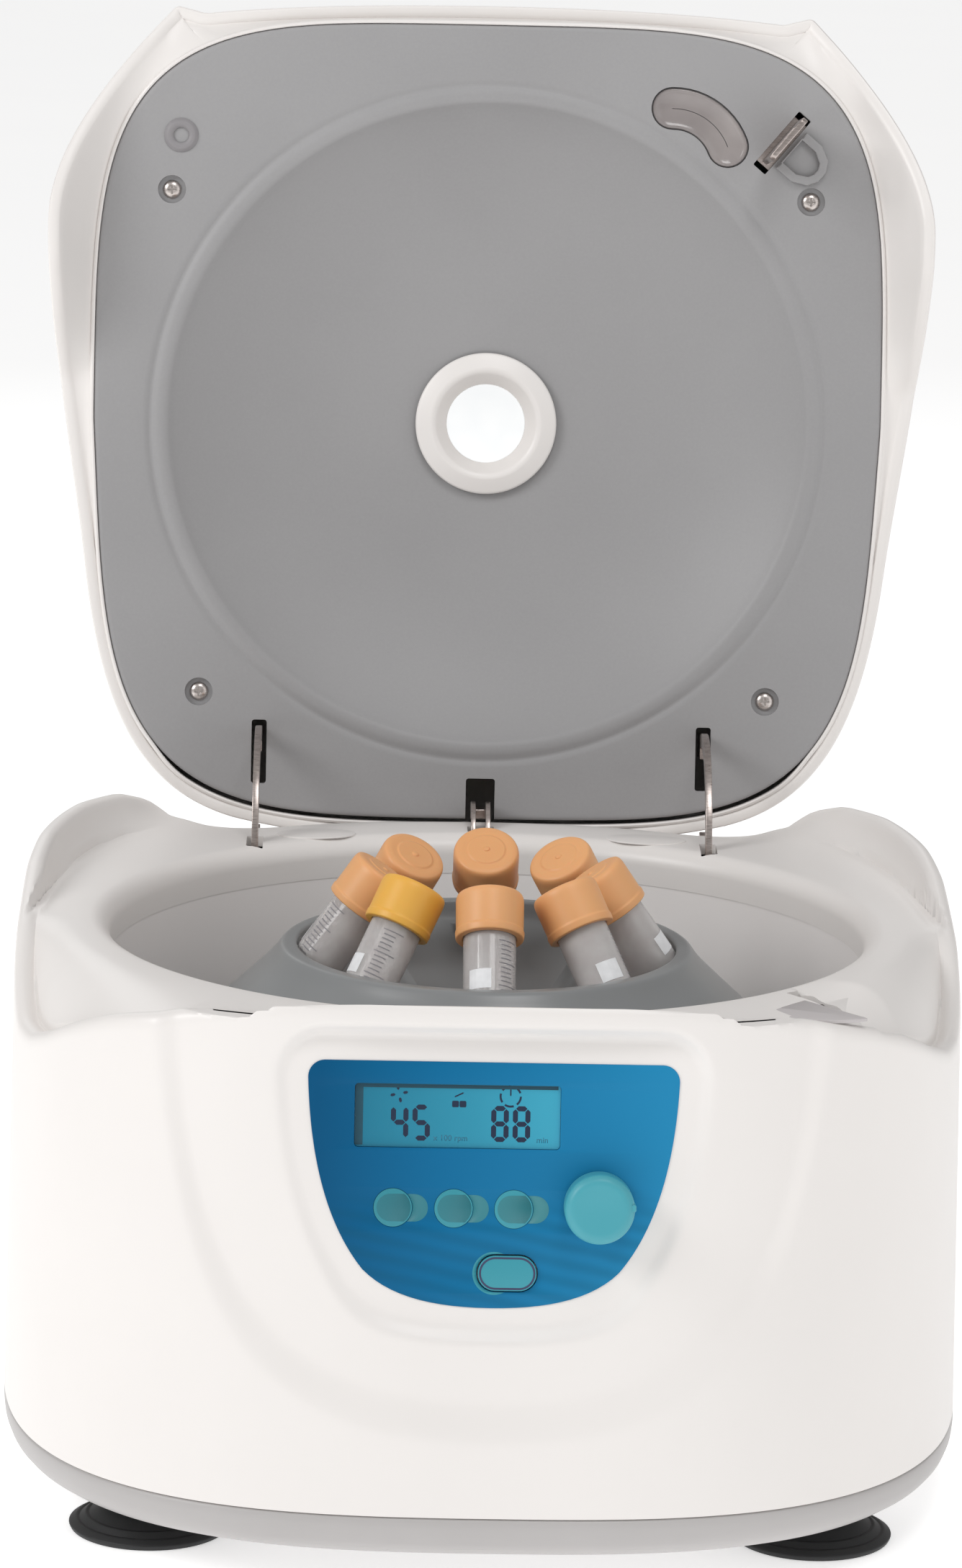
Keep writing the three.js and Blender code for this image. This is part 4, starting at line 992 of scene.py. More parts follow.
def plate(name, loops, low, high, material, place, edge=0.0, sharp=35):
    """A flat plate between two heights: the first closed outline is its edge, the others are holes."""
    curve = bpy.data.curves.new(name, "CURVE")
    curve.dimensions = "2D"
    curve.fill_mode = "BOTH"
    curve.extrude = (high - low) / 2 - edge
    curve.bevel_depth = edge
    curve.bevel_resolution = 2
    curve.offset = -edge
    for loop in loops:
        spline = curve.splines.new("POLY")
        spline.points.add(len(loop) - 1)
        for point, (x, y) in zip(spline.points, loop):
            point.co = (x, y, 0, 1)
        spline.use_cyclic_u = True
    holder = bpy.data.objects.new(name, curve)
    scene.collection.objects.link(holder)
    drawn = bpy.data.meshes.new_from_object(holder.evaluated_get(bpy.context.evaluated_depsgraph_get()))
    bpy.data.objects.remove(holder)
    bm = bmesh.new()
    bm.from_mesh(drawn)
    bpy.data.meshes.remove(drawn)
    bmesh.ops.remove_doubles(bm, verts=bm.verts, dist=1e-4)
    flat = np.array([vertex.co for vertex in bm.verts]) + [0, 0, (low + high) / 2]
    for vertex, point in zip(bm.verts, place(flat)):
        vertex.co = point
    return finish_piece(name, bm, material, sharp)


def rounded_box(width, height, corner, middle=(0, 0), turn=0.0, steps=7):
    """Outline of a rectangle with round corners, turned about its middle."""
    line = []
    for index, (sx, sy) in enumerate(((1, 1), (-1, 1), (-1, -1), (1, -1))):
        for t in np.linspace(0, np.pi / 2, steps):
            bend = t + index * np.pi / 2
            line.append((
                sx * (width / 2 - corner) + corner * math.cos(bend),
                sy * (height / 2 - corner) + corner * math.sin(bend),
            ))
    c, s = math.cos(turn), math.sin(turn)
    return np.array(line) @ np.array([[c, s], [-s, c]]) + middle


def circle(radius, middle=(0, 0), sides=48):
    angle = np.arange(sides) / sides * 2 * np.pi
    return np.column_stack([radius * np.cos(angle), radius * np.sin(angle)]) + middle


LATCH_PLACE = Matrix.Translation((*LATCH_AT, 0)) @ Matrix.Rotation(LATCH_TURN, 4, "Z")


def in_latch(points):
    """Points drawn along and across the latch slot, in lid-closed millimetres."""
    matrix = np.array(LATCH_PLACE)
    return np.asarray(points) @ matrix[:3, :3].T + matrix[:3, 3]


def kidney(inset):
    """Bean-shaped outline, its middle line bent round a point, drawn in from its edge."""
    middle, bend, half = np.array([61.8, -91.0]), 20.0, 6.9 - inset
    start, end = math.radians(-91.6), math.radians(-21.6)

    def arc(centre, radius, first, last, count):
        turn = np.linspace(first, last, count)
        return centre + radius * np.column_stack([np.cos(turn), np.sin(turn)])

    tips = [arc(middle, bend, angle, angle, 1)[0] for angle in (start, end)]
    return np.concatenate([
        arc(middle, bend + half, start, end, 12),
        arc(tips[1], half, end, end + np.pi, 14)[1:-1],
        arc(middle, bend - half, end, start, 12),
        arc(tips[0], half, start + np.pi, start + 2 * np.pi, 14)[1:-1],
    ])


ARM_X = 76.5
LID_SCREWS = ((-109.4, -80), (109.4, -80), (-97.5, 91.7), (97.5, 91.7))
through = (LID_PLANE - 6, LID_PLANE + 12)
liner_cuts = [
    plate("cut", [rounded_box(5.2, 22, 1, (side * ARM_X, 112))], *through, liner_abs, opened)
    for side in (-1, 1)
]
liner_cuts.append(plate("cut", [rounded_box(10, 26, 1, (0, 133))], *through, liner_abs, opened))
liner_cuts.append(
    plate("cut", [rounded_box(24, 5.4, 0.5, LATCH_AT, LATCH_TURN)], *through, liner_abs, opened)
)
liner_cuts.append(plate("cut", [kidney(-0.4)], LID_PLANE - 6, LID_PLANE + 2.2, liner_abs, opened))
for place in LID_SCREWS:
    liner_cuts.append(plate("cut", [circle(4.8, place, 40)], LID_PLANE - 6, LID_PLANE + 2, liner_abs, opened))
carve(liner, *liner_cuts)
liner.data.set_sharp_from_angle(angle=math.radians(50))
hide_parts("lid_liner")
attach(liner, "lid")


# ---- Lid window ----------------------------------------------------------------------------------
# A round port in the middle of the lid: a white ABS ring with a broad bevel, and a clear polycarbonate
# lens held inside it.
def lid_turned(name, profile, material, middle=(0, 0), sides=96, sharp=35):
    """A body of revolution drawn on the closed lid and swung open with it."""
    return turned(name, profile, material, sides, sharp=sharp, middle=middle, draw=opened)


FRAME_RADIUS = 24.5
RING_FACE = dish_height(FRAME_RADIUS) - 3.2
ring_line = rounded([
    (13.6, 205), (13.6, RING_FACE + 4, 0.4), (17.4, RING_FACE - 0.9, 0.7), (19, RING_FACE - 1.5, 0.7),
    (FRAME_RADIUS, RING_FACE + 0.5, 0.9), (FRAME_RADIUS, RING_FACE + 2), (18.6, RING_FACE + 2.2),
    (18.6, LID_TOP + 0.4, 0.4), (16, LID_TOP + 0.4, 0.4), (16, 205), (13.6, 205),
])
window_frame = lid_turned("window_ring", ring_line, white_abs, LID_MIDDLE)
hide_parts("window_frame")
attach(window_frame, "lid")

lens_plastic, tree, shader, where = start_material("clear polycarbonate")
haze = add_node(tree, "ShaderNodeTexNoise", {"Scale": 120.0, "Detail": 2.0}, {"Vector": where})
tree.links.new(
    colour_ramp(tree, haze.outputs["Fac"], [(0.3, "#F7F9FA"), (0.7, "#FDFEFE")]),
    shader.inputs["Base Color"],
)
vary_roughness(tree, shader, haze.outputs["Fac"], 0.02, 0.06)
shader.inputs["Transmission Weight"].default_value = 1.0
shader.inputs["IOR"].default_value = 1.02
lens_line = rounded([(0, 208), (15.6, 208, 0.5), (15.6, 211, 0.5), (0, 211)])
lens = lid_turned("window_pane", lens_line, lens_plastic, LID_MIDDLE)
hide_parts("window_lens")
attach(lens, "lid")


# ---- Lid screws, bumper and sensor cover ---------------------------------------------------------
# Four nickel-plated cross-head screws sit in recesses and hold the liner to the shell. A rubber ring
# cushions the lid at one corner, and a smoked bean-shaped cover hides the lid sensor.
def metal(name, light, dark, roughness, scale=(60, 60, 600)):
    """Worked metal: brushed along one direction, with uneven gloss."""
    material, tree, shader, where = start_material(name)
    stretch = add_node(tree, "ShaderNodeMapping", {"Scale": scale}, {"Vector": where})
    brush = add_node(
        tree, "ShaderNodeTexNoise", {"Scale": 6.0, "Detail": 3.0}, {"Vector": stretch.outputs["Vector"]}
    )
    tree.links.new(
        colour_ramp(tree, brush.outputs["Fac"], [(0.3, dark), (0.7, light)]), shader.inputs["Base Color"]
    )
    vary_roughness(tree, shader, brush.outputs["Fac"], roughness - 0.08, roughness + 0.08)
    shader.inputs["Metallic"].default_value = 1.0
    return material


nickel = metal("nickel-plated screw steel", "#D9D2CE", "#BDB4AF", 0.3)
screw_line = rounded([
    (0, 0.05), (1.8, 0.15, 0.8), (3.1, 1, 0.8), (3.2, 1.6, 0.2), (1.5, 1.6), (1.5, 11), (0, 12),
])
one_screw = turned("screw", screw_line, nickel, 40, AT_ORIGIN)
cross = []
for turn in (0, math.pi / 2):
    cross.append(plate(
        "cross", [rounded_box(3, 0.7, 0.1, turn=turn, steps=3)], -1, 1.1, nickel,
        lambda points: np.asarray(points) * MM,
    ))
carve(one_screw, *cross)
SCREW_HEAD = LID_PLANE + 0.4
screw_points = [opened([x, y, SCREW_HEAD]) for x, y in LID_SCREWS]
screw_turns = [(OPEN_TURN, 0, 0)] * len(LID_SCREWS)
screws = repeat("liner_screws", one_screw, screw_points, screw_turns, nickel)
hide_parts("lid_screw_1", "lid_screw_2", "lid_screw_3", "lid_screw_4")
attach(screws, "lid")

bumper_rubber = moulded("grey bumper rubber", "#949193", "#8C898B", 0.5, 0.08, 900)
bumper_line = rounded([
    (2.6, 172.25), (2.6, 171.9, 0.2), (3.5, 171.3, 0.5), (4.7, 171.3, 0.5), (5.8, 172.25), (2.6, 172.25),
])
bumper = lid_turned("bumper_ring", bumper_line, bumper_rubber, (-106.5, -98.5), 48)
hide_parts("lid_bumper")
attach(bumper, "lid")

smoked, tree, shader, where = start_material("smoked translucent acrylic")
smoke = add_node(tree, "ShaderNodeTexNoise", {"Scale": 45.0, "Detail": 3.0}, {"Vector": where})
tree.links.new(
    colour_ramp(tree, smoke.outputs["Fac"], [(0.3, "#8C8584"), (0.7, "#A29B99")]),
    shader.inputs["Base Color"],
)
vary_roughness(tree, shader, smoke.outputs["Fac"], 0.1, 0.2)
shader.inputs["Coat Weight"].default_value = 0.3
cover_rows = [
    np.column_stack([kidney(inset), np.full(48, LID_PLANE + z)])
    for inset, z in ((6.8, 1.9), (0, 1.9), (0, 1), (0.3, 0.7), (0.9, 0.6), (1.4, 0.8), (1.9, 1.1), (6.8, 1.2))
]
cover = skin("sensor_window", opened(cover_rows), smoked, sharp=50)
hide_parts("sensor_cover")
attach(cover, "lid")


# ---- Striker and guard ---------------------------------------------------------------------------
# The stamped steel striker stands out of the liner and drops through the deck into the latch when the
# lid shuts. Beside it a moulded, open-ended boss keeps the lid square on the deck.
strip_steel = metal("zinc-plated strip steel", "#C9BFBA", "#A79C97", 0.3)


def across_slot(points):
    """Drawn as (along the slot, height, across it) and stood in the slot of the open lid."""
    u, v, w = np.moveaxis(np.asarray(points, float), -1, 0)
    return opened(in_latch(np.stack([u, w, v], -1)))


BOLT_WINDOW = rounded_box(11, 8.4, 1, (0, 149))
striker = plate(
    "striker_plate", [rounded_box(18, 36, 2, (0, 160)), BOLT_WINDOW], -1, 1, strip_steel, across_slot, 0.3
)
striker_foot = plate(
    "striker_foot", [rounded_box(20, 12, 1.5)], LID_PLANE + LINER_THICKNESS + 0.3, 179, strip_steel,
    lambda points: opened(in_latch(points)), 0.3,
)
for piece in (striker, striker_foot):
    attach(piece, "lid")
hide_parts("striker")

boss_edge = np.array([(-8, 4), (8, 4), (8, 11), (5.5, 16), (2, 18), (-2, 18), (-5.5, 16), (-8, 11)], float)
boss_bay = [(-5, 4.6), (5, 4.6), (5, 10.6), (3, 14.2), (1, 15.2), (-1, 15.2), (-3, 14.2), (-5, 10.6)]
boss_bay = np.array(boss_bay)
boss = plate(
    "guard_boss", [boss_edge, boss_bay], DECK - 0.8, LID_PLANE - 0.05, liner_abs,
    lambda points: opened(in_latch(points)), 0.5,
)
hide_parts("striker_guard")
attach(boss, "lid")


# ---- Hinge arms ----------------------------------------------------------------------------------
# Three flat steel arms carry the lid. Each is an arc round the hinge shaft, so that it always passes
# through the same slot in the deck, with an eye on the shaft and a tab in the lid.
def arm_loop(radius, half, hub, first, last):
    """Outline of an arm as (y, z) from the hinge: the band, a straight neck and the round eye."""
    start, end = math.radians(first), math.radians(last)

    def at(angle, r):
        return np.array([-r * math.cos(angle), r * math.sin(angle)])

    outer = [at(t, radius + half) for t in np.linspace(start, end, 44)]
    inner = [at(t, radius - half) for t in np.linspace(end, start + 0.2, 40)]
    turn = math.atan2(*at(start, 1)[::-1])
    round_eye = np.linspace(turn + 0.7, turn + 2 * math.pi - 0.7, 24)
    eye = [hub * np.array([math.cos(t), math.sin(t)]) for t in round_eye]
    side = np.array([-math.sin(turn), math.cos(turn)])
    if np.dot(inner[-1], side) < np.dot(outer[0], side):
        eye = eye[::-1]
    return np.array(outer + inner + eye)


def hinge_plane(x):
    """Drawn as (y, z, across) round the hinge and stood at one x of the open lid."""
    def place(points):
        y, z, out = np.moveaxis(np.asarray(points, float), -1, 0)
        return opened(np.stack([x + out, hinge_at[1] + y, hinge_at[2] + z], -1))
    return place


SHAFT_HOLE = circle(2.3, sides=24)
side_loop = arm_loop(36, 2.4, 4.6, -106, 15)
for node, x in (("lid_arm_left", -ARM_X), ("lid_arm_right", ARM_X)):
    arm = plate(node + "_band", [side_loop, SHAFT_HOLE], -1.1, 1.1, strip_steel, hinge_plane(x), 0.25)
    tab = plate(
        node + "_tab", [rounded_box(8.2, 16, 0.6, (107.9 - hinge_at[1], 180 - hinge_at[2]))], -1.05, 1.05,
        strip_steel, hinge_plane(x), 0.2,
    )
    for piece in (arm, tab):
        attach(piece, "lid")
    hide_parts(node)
centre_loop = arm_loop(11.8, 1.9, 4.4, -106, 42)
for side in (-1, 1):
    leg = plate(
        f"centre_arm_{side + 1}", [centre_loop, SHAFT_HOLE], -0.8, 0.8, strip_steel,
        hinge_plane(side * 2.5), 0.2,
    )
    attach(leg, "lid")
    if side > 0:
        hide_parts("lid_arm_centre")
tab = plate(
    "centre_arm_tab", [rounded_box(3.4, 14, 0.5, (132.2 - hinge_at[1], 178.7 - hinge_at[2]))], -3.3, 3.3,
    strip_steel, hinge_plane(0), 0.2,
)
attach(tab, "lid")


# ---- Control panel -------------------------------------------------------------------------------
# The blue D-shaped membrane is printed polyester bonded to a backing plate, which stands a little proud
# of the pocket's floor. It is cut out round the LCD, the keys and the knob's bush.
def on_panel(points):
    """Points drawn on the panel as (across, up the slope, out of the face), in metres in the frame."""
    points = np.asarray(points, float)
    out = points[..., 2, None] * panel_out
    return to_frame(panel_foot + points[..., 0, None] * [1, 0, 0] + points[..., 1, None] * panel_up + out)


def shaded_across(name, stops, roughness, line_depth=0.0):
    """Colour that lightens from left to right across the panel, painted light for the brighter light on its
    right, with faint slanting lines in its lower part.
    """
    material, tree, shader, where = start_material(name)
    split = add_node(tree, "ShaderNodeSeparateXYZ", links={"Vector": where})
    across = add_node(
        tree, "ShaderNodeMapRange", {"From Min": -PANEL_HALF * MM, "From Max": PANEL_HALF * MM},
        {"Value": split.outputs["X"]},
    )
    tint = colour_ramp(tree, across.outputs["Result"], stops)
    turned_lines = add_node(
        tree, "ShaderNodeMapping", {"Rotation": (0, math.radians(78), 0)}, {"Vector": where}
    )
    lines = add_node(
        tree, "ShaderNodeTexWave", {"Scale": 62.0, "Distortion": 0.6, "Detail": 1.0},
        {"Vector": turned_lines.outputs["Vector"]},
    )
    low = add_node(
        tree, "ShaderNodeMapRange",
        {"From Min": 0.112, "From Max": 0.122, "To Min": line_depth, "To Max": 0.0},
        {"Value": split.outputs["Z"]},
    )
    strength = add_node(
        tree, "ShaderNodeMath", links={0: lines.outputs["Fac"], 1: low.outputs["Result"]},
        operation="MULTIPLY",
    )
    mix = add_node(
        tree, "ShaderNodeMix", links={"Factor": strength.outputs["Value"]}, data_type="RGBA",
    )
    tree.links.new(tint, mix.inputs["A"])
    mix.inputs["B"].default_value = linear("#0A4A60")
    tree.links.new(mix.outputs["Result"], shader.inputs["Base Color"])
    grain = add_node(tree, "ShaderNodeTexNoise", {"Scale": 500.0, "Detail": 2.0}, {"Vector": where})
    vary_roughness(tree, shader, grain.outputs["Fac"], roughness - 0.05, roughness + 0.05)
    return material


LCD_AT = (-10.6, 56.8)
LCD_SIZE = (61, 19)
START_AT = (4.9, 10.5)
START_SIZE = (17.4, 10.4)
BUTTONS = {"speed_button": -29.3, "time_button": -11.3, "mode_button": 6.5}
BUTTON_UP = 29.5
KNOB_AT = (31.6, 31.0)
BUTTON_HOLE = 5.76
# The membrane's blue lightens from left to right: painted light across the panel.
polyester = shaded_across(
    "screen-printed blue polyester", [(0.03, "#00507A"), (0.35, "#0A6896"), (0.97, "#2286B5")], 0.42, 0.22
)
membrane = plate(
    "panel_membrane",
    [
        panel_outline(0), rounded_box(*LCD_SIZE, 1.2, LCD_AT), rounded_box(18.2, 11.2, 5.5, START_AT),
        circle(3.6, KNOB_AT),
        *[circle(BUTTON_HOLE, (x, BUTTON_UP)) for x in BUTTONS.values()],
    ],
    -2.5, 0, polyester, on_panel, 0.15,
)
polyester.node_tree.nodes["Principled BSDF"].inputs["Specular IOR Level"].default_value = 0.15
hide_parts("control_panel")
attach(membrane, "root")


# ---- Display -------------------------------------------------------------------------------------
# A backlit LCD behind the cut-out: a blue-green glass with painted shadow along its left and top edges,
# where the recess wall shades it, two 7-segment figures, three small signs and two tiny units, all
# printed as dark segments.
# The LCD glass lightens from left to right, and its faint glow with it: painted light across the panel.
lcd_glass = shaded_across(
    "backlit LCD glass", [(0.12, "#15708B"), (0.45, "#2A8BA6"), (0.72, "#3CA3BE")], 0.2
)
glow = lcd_glass.node_tree.nodes["Principled BSDF"]
lcd_glass.node_tree.links.new(glow.inputs["Base Color"].links[0].from_socket, glow.inputs["Emission Color"])
glow.inputs["Emission Strength"].default_value = 0.08
GLASS_FACE = -1.2
glass = plate(
    "lcd_glass", [rounded_box(LCD_SIZE[0] - 0.2, LCD_SIZE[1] - 0.2, 1.1, LCD_AT)], -1.4, GLASS_FACE,
    lcd_glass, on_panel,
)
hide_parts("lcd_window")
# Painted shadow: a dark strip on the LCD's left and top edges stands for the shade that the recess wall casts
# on the glass.
lcd_shadow_ink = printed("painted LCD recess shadow", "#124A5C")
segment_ink = printed("dark LCD segment ink", "#08203F", 0.6)
unit_ink = printed("faint LCD unit ink", "#266F8A", 0.3)
left, top = LCD_AT[0] - LCD_SIZE[0] / 2, LCD_AT[1] + LCD_SIZE[1] / 2
right, bottom = left + LCD_SIZE[0], top - LCD_SIZE[1]
# Outline of the painted shadow strip along the LCD's left and top edges.
lcd_shadow_loop = np.array([
    (left + 0.1, bottom + 0.6), (left + 0.1, top - 0.2), (right - 0.8, top - 0.2), (right - 0.8, top - 1.3),
    (left + 2.5, top - 1.3), (left + 2.5, bottom + 0.6),
])
lcd_shadow = plate("lcd_border", [lcd_shadow_loop], GLASS_FACE, GLASS_FACE + 0.04, lcd_shadow_ink, on_panel)


def segment(a, b, width):
    """One bar of a figure, pointed at both ends."""
    a, b = np.array(a, float), np.array(b, float)
    run = (b - a) / np.linalg.norm(b - a)
    side = np.array([-run[1], run[0]]) * width / 2
    tip = run * width / 2
    return np.array([a, a + tip + side, b - tip + side, b, b - tip - side, a + tip - side])


DIGIT_SIZE = (3.7, 9.2)
DIGIT_BARS = {"4": "fgbc", "5": "afgcd", "8": "abcdefg"}


def digit_loops(digit, x, y):
    """Bars of a 7-segment figure with its lower left corner at a point."""
    w, h = DIGIT_SIZE
    ends = {
        "a": ((0, h), (w, h)), "b": ((w, h / 2), (w, h)), "c": ((w, 0), (w, h / 2)),
        "d": ((0, 0), (w, 0)), "e": ((0, 0), (0, h / 2)), "f": ((0, h / 2), (0, h)),
        "g": ((0, h / 2), (w, h / 2)),
    }
    clear = 0.18
    loops = []
    for bar in DIGIT_BARS[digit]:
        a, b = (np.array(end, float) for end in ends[bar])
        run = (b - a) / np.linalg.norm(b - a)
        loops.append(segment(a + run * clear + (x, y), b - run * clear + (x, y), 1.5))
    return loops


marks = []
for digit, x in (("4", -29.6), ("5", -23.2), ("8", 0.1), ("8", 6.5)):
    marks += digit_loops(digit, x, 50.1)
for turn in range(4):  # the turning-rotor sign
    aim = np.array([math.cos(turn * math.pi / 2 + 0.2), math.sin(turn * math.pi / 2 + 0.2)])
    marks.append(segment(aim * 1.1 + (-28, 63.2), aim * 2.7 + (-28, 63.2), 0.8))
marks.append(rounded_box(2.0, 1.9, 0.4, (-11.3, 60.4)))  # the closed-lid sign
marks.append(rounded_box(2.0, 1.9, 0.4, (-9.1, 60.4)))
marks.append(segment((-11.6, 62.5), (-8.9, 63.8), 0.4))
for start in np.arange(5) * 72 + 20:  # the timer sign, a broken ring with its hand up
    arc = np.radians(np.linspace(start, start + 52, 8))
    ring = np.column_stack([np.cos(arc), np.sin(arc)])
    marks.append(np.concatenate([ring * 3.3, ring[::-1] * 2.7]) + (5.0, 62.9))
marks.append(segment((5, 63), (5, 65.1), 0.4))
segments = plate("lcd_segments", marks, GLASS_FACE, GLASS_FACE + 0.03, segment_ink, on_panel)


def small_print(name, words, size, middle, height, material, place):
    """A line of printed words, made a flat mesh."""
    text = bpy.data.curves.new(name, "FONT")
    text.body = words
    text.size = size
    text.align_x = "CENTER"
    text.align_y = "CENTER"
    text.extrude = 0.015
    holder = bpy.data.objects.new(name, text)
    scene.collection.objects.link(holder)
    drawn = bpy.data.meshes.new_from_object(holder.evaluated_get(bpy.context.evaluated_depsgraph_get()))
    bpy.data.objects.remove(holder)
    bm = bmesh.new()
    bm.from_mesh(drawn)
    bpy.data.meshes.remove(drawn)
    flat = np.array([vertex.co for vertex in bm.verts]) + [*middle, height + 0.015]
    for vertex, point in zip(bm.verts, place(flat)):
        vertex.co = point
    return finish_piece(name, bm, material)


units = [
    small_print("lcd_unit_speed", "x 100 rpm", 2.4, (-12.6, 50.2), GLASS_FACE, unit_ink, on_panel),
    small_print("lcd_unit_time", "min", 2.4, (14.6, 50.0), GLASS_FACE, unit_ink, on_panel),
]
for piece in (glass, lcd_shadow, segments, *units):
    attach(piece, "root")


# ---- Keys ----------------------------------------------------------------------------------------
# Three round keys and a stadium-shaped start key in teal silicone. Each is printed with a darker
# capsule that runs on over the membrane beside it; the start key has a dark outline and a pale disc.
# The keys and their print lighten from left to right with their place on the panel: painted light across the
# panel.
key_teal = shaded_across(
    "teal silicone key", [(0.15, "#2A8492"), (0.5, "#3594A3"), (0.7, "#3B9AAC")], 0.45
)
capsule_ink = shaded_across(
    "olive teal key print", [(0.1, "#24727F"), (0.45, "#2F7D88"), (0.65, "#3C858D")], 0.5
)
outline_ink = printed("dark key outline ink", "#3A4060", 0.6)
CAPSULE = (15.2, 8.2)
KEY_FACE = 0.15
PRINT = 0.03
for node, x in BUTTONS.items():
    middle = (x, BUTTON_UP)
    key = plate(node + "_key", [circle(5.7, middle, 56)], -4, KEY_FACE, key_teal, on_panel, 0.1)
    capsule = rounded_box(*CAPSULE, 4.05, (x + 2.8, BUTTON_UP), steps=12)
    on_key = plate(node + "_print", [capsule], KEY_FACE, KEY_FACE + PRINT, capsule_ink, on_panel)
    beyond = plate(
        "cut", [rounded_box(60, 60, 1, middle), circle(5.3, middle, 56)], -1, 3, capsule_ink, on_panel
    )
    carve(on_key, beyond)
    beside = plate(node + "_print_beside", [capsule], 0, PRINT, capsule_ink, on_panel)
    carve(beside, plate("cut", [circle(BUTTON_HOLE + 0.1, middle, 56)], -1, 3, capsule_ink, on_panel))
    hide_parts(node)
    for piece in (key, on_key):
        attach(piece, node)
    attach(beside, "root")

start_loop = rounded_box(*START_SIZE, 5.1, START_AT, steps=12)
start_key = plate("start_key", [start_loop], -4, 0.9, key_teal, on_panel, 0.3)
start_ring = plate(
    "start_outline",
    [
        rounded_box(START_SIZE[0] - 0.7, START_SIZE[1] - 0.7, 4.8, START_AT, steps=12),
        rounded_box(START_SIZE[0] - 1.9, START_SIZE[1] - 1.9, 4.2, START_AT, steps=12),
    ],
    0.9, 0.9 + PRINT, outline_ink, on_panel,
)
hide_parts("start_button")
for piece in (start_key, start_ring):
    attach(piece, "start_button")
pale_disc = plate("start_disc", [circle(6.4, (1.0, 10.4), 64)], 0, PRINT, key_teal, on_panel)
carve(pale_disc, plate("cut", [rounded_box(18.4, 11.4, 5.6, START_AT)], -1, 3, key_teal, on_panel))
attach(pale_disc, "root")


# ---- Knob ----------------------------------------------------------------------------------------
# The teal knob on its encoder shaft: a turned barrel with a soft edge, a flat face, and a
# small moulded pointer on its rim.
def panel_turned(name, profile, material, middle, sides=72, sharp=35):
    """A body of revolution on the panel, given as (radius, height out of the face)."""
    return turned(name, profile, material, sides, sharp=sharp, middle=middle, draw=on_panel)


knob_teal = moulded("teal moulded knob", "#4AA5B3", "#459DAA", 0.4, 0.05, 800)
knob_line = rounded([
    (0, -2.2), (3, -2.2), (3, 0.8), (10.4, 0.8, 0.5), (10.4, 9.6, 0.6), (10.1, 10.6, 1.6),
    (8.6, 12, 1.4), (6, 11.9, 3), (0, 11.6),
])
knob = panel_turned("knob_barrel", knob_line, knob_teal, KNOB_AT)
pointer = plate(
    "knob_pointer", [rounded_box(1.6, 2.2, 0.6, (KNOB_AT[0] + 9.9, KNOB_AT[1] + 0.6))], 1.2, 11.2,
    knob_teal, on_panel, 0.3,
)
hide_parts("knob")
for piece in (knob, pointer):
    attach(piece, "knob")


# ---- Openings in the housing ---------------------------------------------------------------------
# The housing is cut for the panel's back, the latch slot and its plate, the hinge arms' slots and the
# power inlet, which stands in a thin white surround.
housing_cuts = [plate("cut", [panel_outline(-0.6)], -8, 6, white_abs, on_panel)]
housing_cuts.append(
    plate("cut", [rounded_box(24, 5.5, 0.5, LATCH_AT, LATCH_TURN)], 140, 200, white_abs, to_frame)
)
for side in (-1, 1):
    housing_cuts.append(
        plate("cut", [rounded_box(5.6, 15, 0.6, (side * ARM_X, 106))], 150, 200, white_abs, to_frame)
    )
housing_cuts.append(plate("cut", [rounded_box(9, 8.5, 0.6, (0, 130.75))], 150, 200, white_abs, to_frame))


def latch_half(side, radius, clear=4.0):
    """Half disc beside the latch slot, side -1 towards the panel and 1 towards the wing."""
    angle = np.linspace(math.asin(clear / radius), math.pi - math.asin(clear / radius), 40)
    loop = np.column_stack([radius * np.cos(angle), side * radius * np.sin(angle)])[::side]
    c, s = math.cos(LATCH_TURN), math.sin(LATCH_TURN)
    return loop @ np.array([[c, s], [-s, c]]) + LATCH_AT


def off_the_lip(loop, low, high, radius, material, edge=0.0):
    """A plate on the deck, cut back to a circle round the bowl's lip."""
    piece = plate("on_deck", [loop], low, high, material, to_frame, edge)
    core = turned(
        "cut", [(0, low - 9), (radius, low - 9), (radius, high + 9), (0, high + 9)], material, 192
    )
    return carve(piece, core)


recess = off_the_lip(latch_half(-1, 25), DECK - 1.5, 200, 129.5, white_abs)
inlet_low, inlet_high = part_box("power_inlet")
inlet_middle = ((inlet_low.x + inlet_high.x) / 2 / MM, (inlet_low.z + inlet_high.z) / 2 / MM)


def on_back(points):
    """Points drawn on the back as (across, up, forward)."""
    x, z, y = np.moveaxis(np.asarray(points, float), -1, 0)
    return to_frame(np.stack([x, y, z], -1))


housing_cuts.append(
    plate("cut", [rounded_box(58.6, 46.6, 1.5, inlet_middle)], 160, 200, white_abs, on_back)
)
carve(housing, *housing_cuts)
carve(housing, recess, solver="FAST")
surround = plate(
    "inlet_surround",
    [rounded_box(65, 53, 4, inlet_middle), rounded_box(58, 46, 1, inlet_middle)],
    150, 174.4, white_abs, on_back, 0.6,
)
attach(surround, "root")
housing.data.set_sharp_from_angle(angle=math.radians(50))


# ---- Latch plate and deck pads -------------------------------------------------------------------
# A grey moulded plate lies in the deck's recess on the panel side of the latch slot. Two shallow oval
# pads are moulded on the deck behind the bowl, beside the hinge arms.
plate_grey = moulded("light grey moulded latch plate", "#C4BFBF", "#BDB8B8", 0.38, 0.05)
latch_plate = off_the_lip(latch_half(-1, 24.7), DECK - 1.2, DECK - 0.1, 129.8, plate_grey, 0.2)
latch_plate.name = "latch_cover"
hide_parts("latch_plate")
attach(latch_plate, "root")


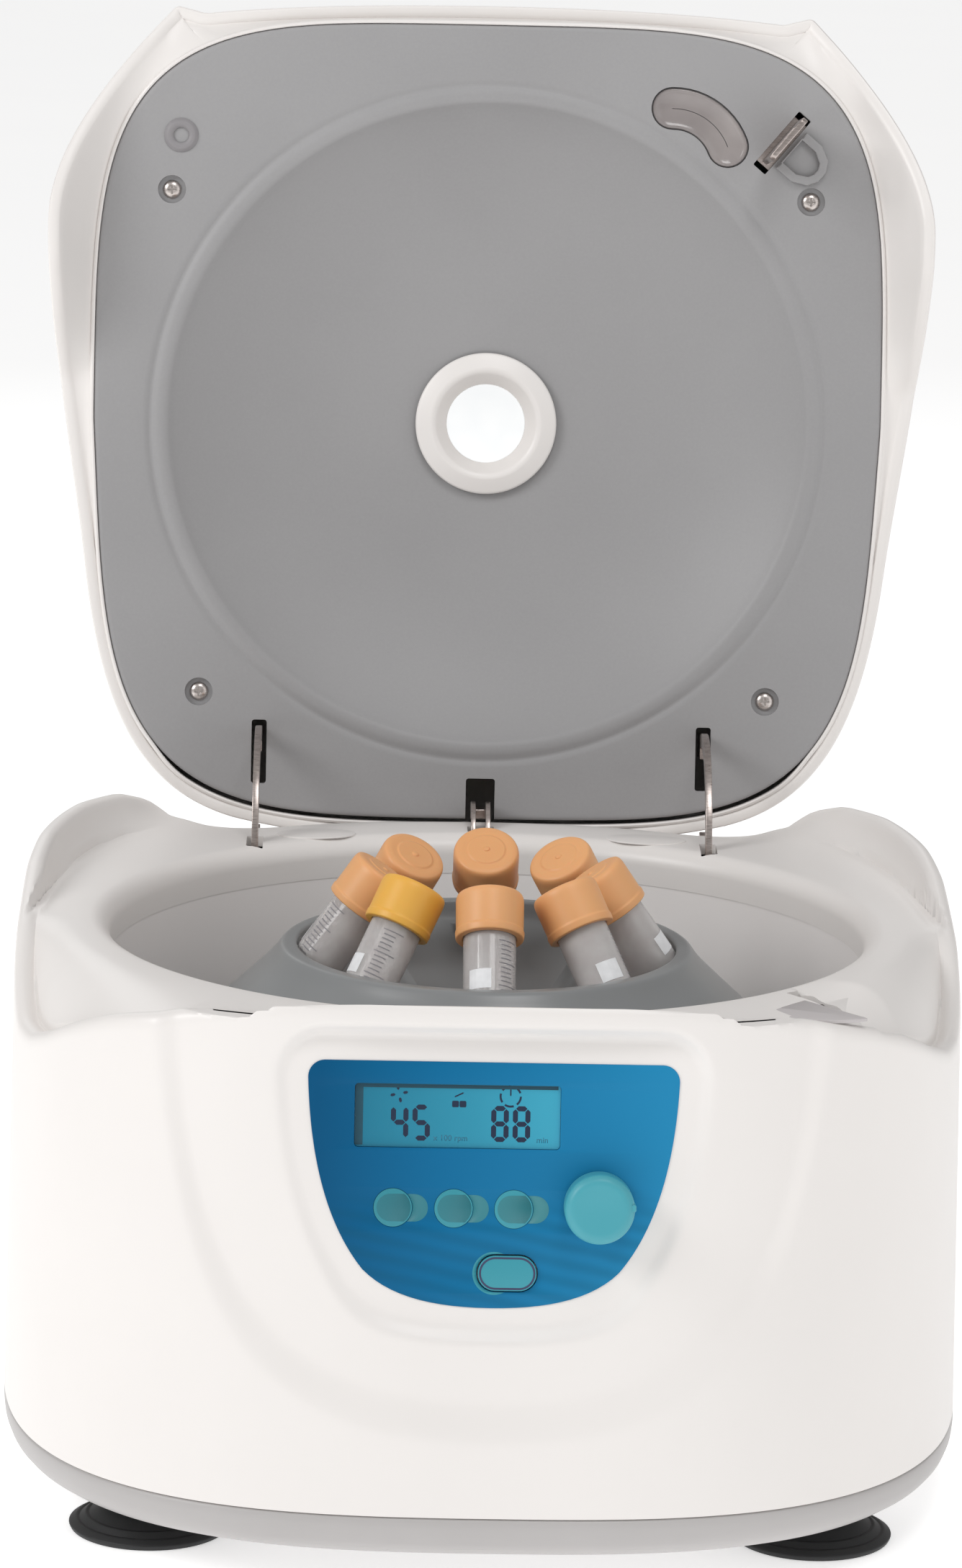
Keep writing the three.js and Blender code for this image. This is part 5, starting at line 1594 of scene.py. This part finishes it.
def oval(width, height, middle, turn):
    angle = np.linspace(0, 2 * np.pi, 64, endpoint=False)
    line = np.column_stack([width / 2 * np.cos(angle), height / 2 * np.sin(angle)])
    c, s = math.cos(turn), math.sin(turn)
    return line @ np.array([[c, s], [-s, c]]) + middle


for side in (-1, 1):
    pad = plate(
        f"deck_pad_{side + 1}", [oval(27, 15, (side * 56, 118.5), side * -0.12)], DECK - 0.3, DECK + 0.35,
        white_abs, to_frame, 0.3,
    )
    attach(pad, "root")


# ---- Drive, latch and hinge ----------------------------------------------------------------------
# The pieces inside the housing keep their simple bodies, with their edges broken: a cast motor on
# rubber mounts and a steel plate, the shaft and its gaiter, the latch, the hinge shaft and its spring.
def dress(material, nodes, edge=0.3):
    """Gives kept bodies a material and broken edges."""
    for node in nodes:
        piece = bpy.data.objects[node]
        piece.data.materials.clear()
        piece.data.materials.append(material)
        if edge:
            bevel = piece.modifiers.new("broken edges", "BEVEL")
            bevel.width = edge * MM
            bevel.segments = 2
            bevel.limit_method = "ANGLE"
            bevel.angle_limit = math.radians(40)


cast_motor = moulded("black epoxy-coated cast motor", "#3C3E40", "#343638", 0.5, 0.2, 700)
sheet_steel = metal("galvanised sheet steel", "#C3C2C0", "#A9A8A6", 0.4)
ground_steel = metal("ground steel bar", "#CFC9C6", "#B3ACA8", 0.22, (600, 60, 60))
gaiter_rubber = moulded("black gaiter rubber", "#2A2B2C", "#202122", 0.6, 0.2, 800)
dress(cast_motor, ["motor_body"], 0.6)
dress(sheet_steel, ["motor_plate", "hinge_bracket_left", "hinge_bracket_right", "power_supply"], 0.3)
dress(ground_steel, ["motor_shaft", "hinge_shaft", "lid_spring"], 0)
dress(gaiter_rubber, ["motor_mount_1", "motor_mount_2", "motor_mount_3", "shaft_gaiter"], 0.3)
dress(strip_steel, ["latch_body", "latch_bolt", "encoder"], 0.3)


# ---- Boards --------------------------------------------------------------------------------------
# The control board and the LCD module behind the panel are green glass-epoxy laminate.
laminate = moulded("green solder-masked laminate", "#235F41", "#1B5236", 0.35, 0.1, 600)
dress(laminate, ["control_board", "lcd_module"], 0.15)


# ---- Power inlet ---------------------------------------------------------------------------------
# The back carries a black inlet socket for a detachable lead, with a rocker switch above it, moulded
# in glass-filled nylon.
nylon = moulded("black glass-filled nylon", "#303234", "#26282A", 0.45, 0.2, 900)
rocker_nylon = moulded("satin black rocker nylon", "#232426", "#1C1D1F", 0.3, 0.05, 900)
dress(nylon, ["power_inlet"], 0.3)
dress(rocker_nylon, ["power_switch"], 0.3)
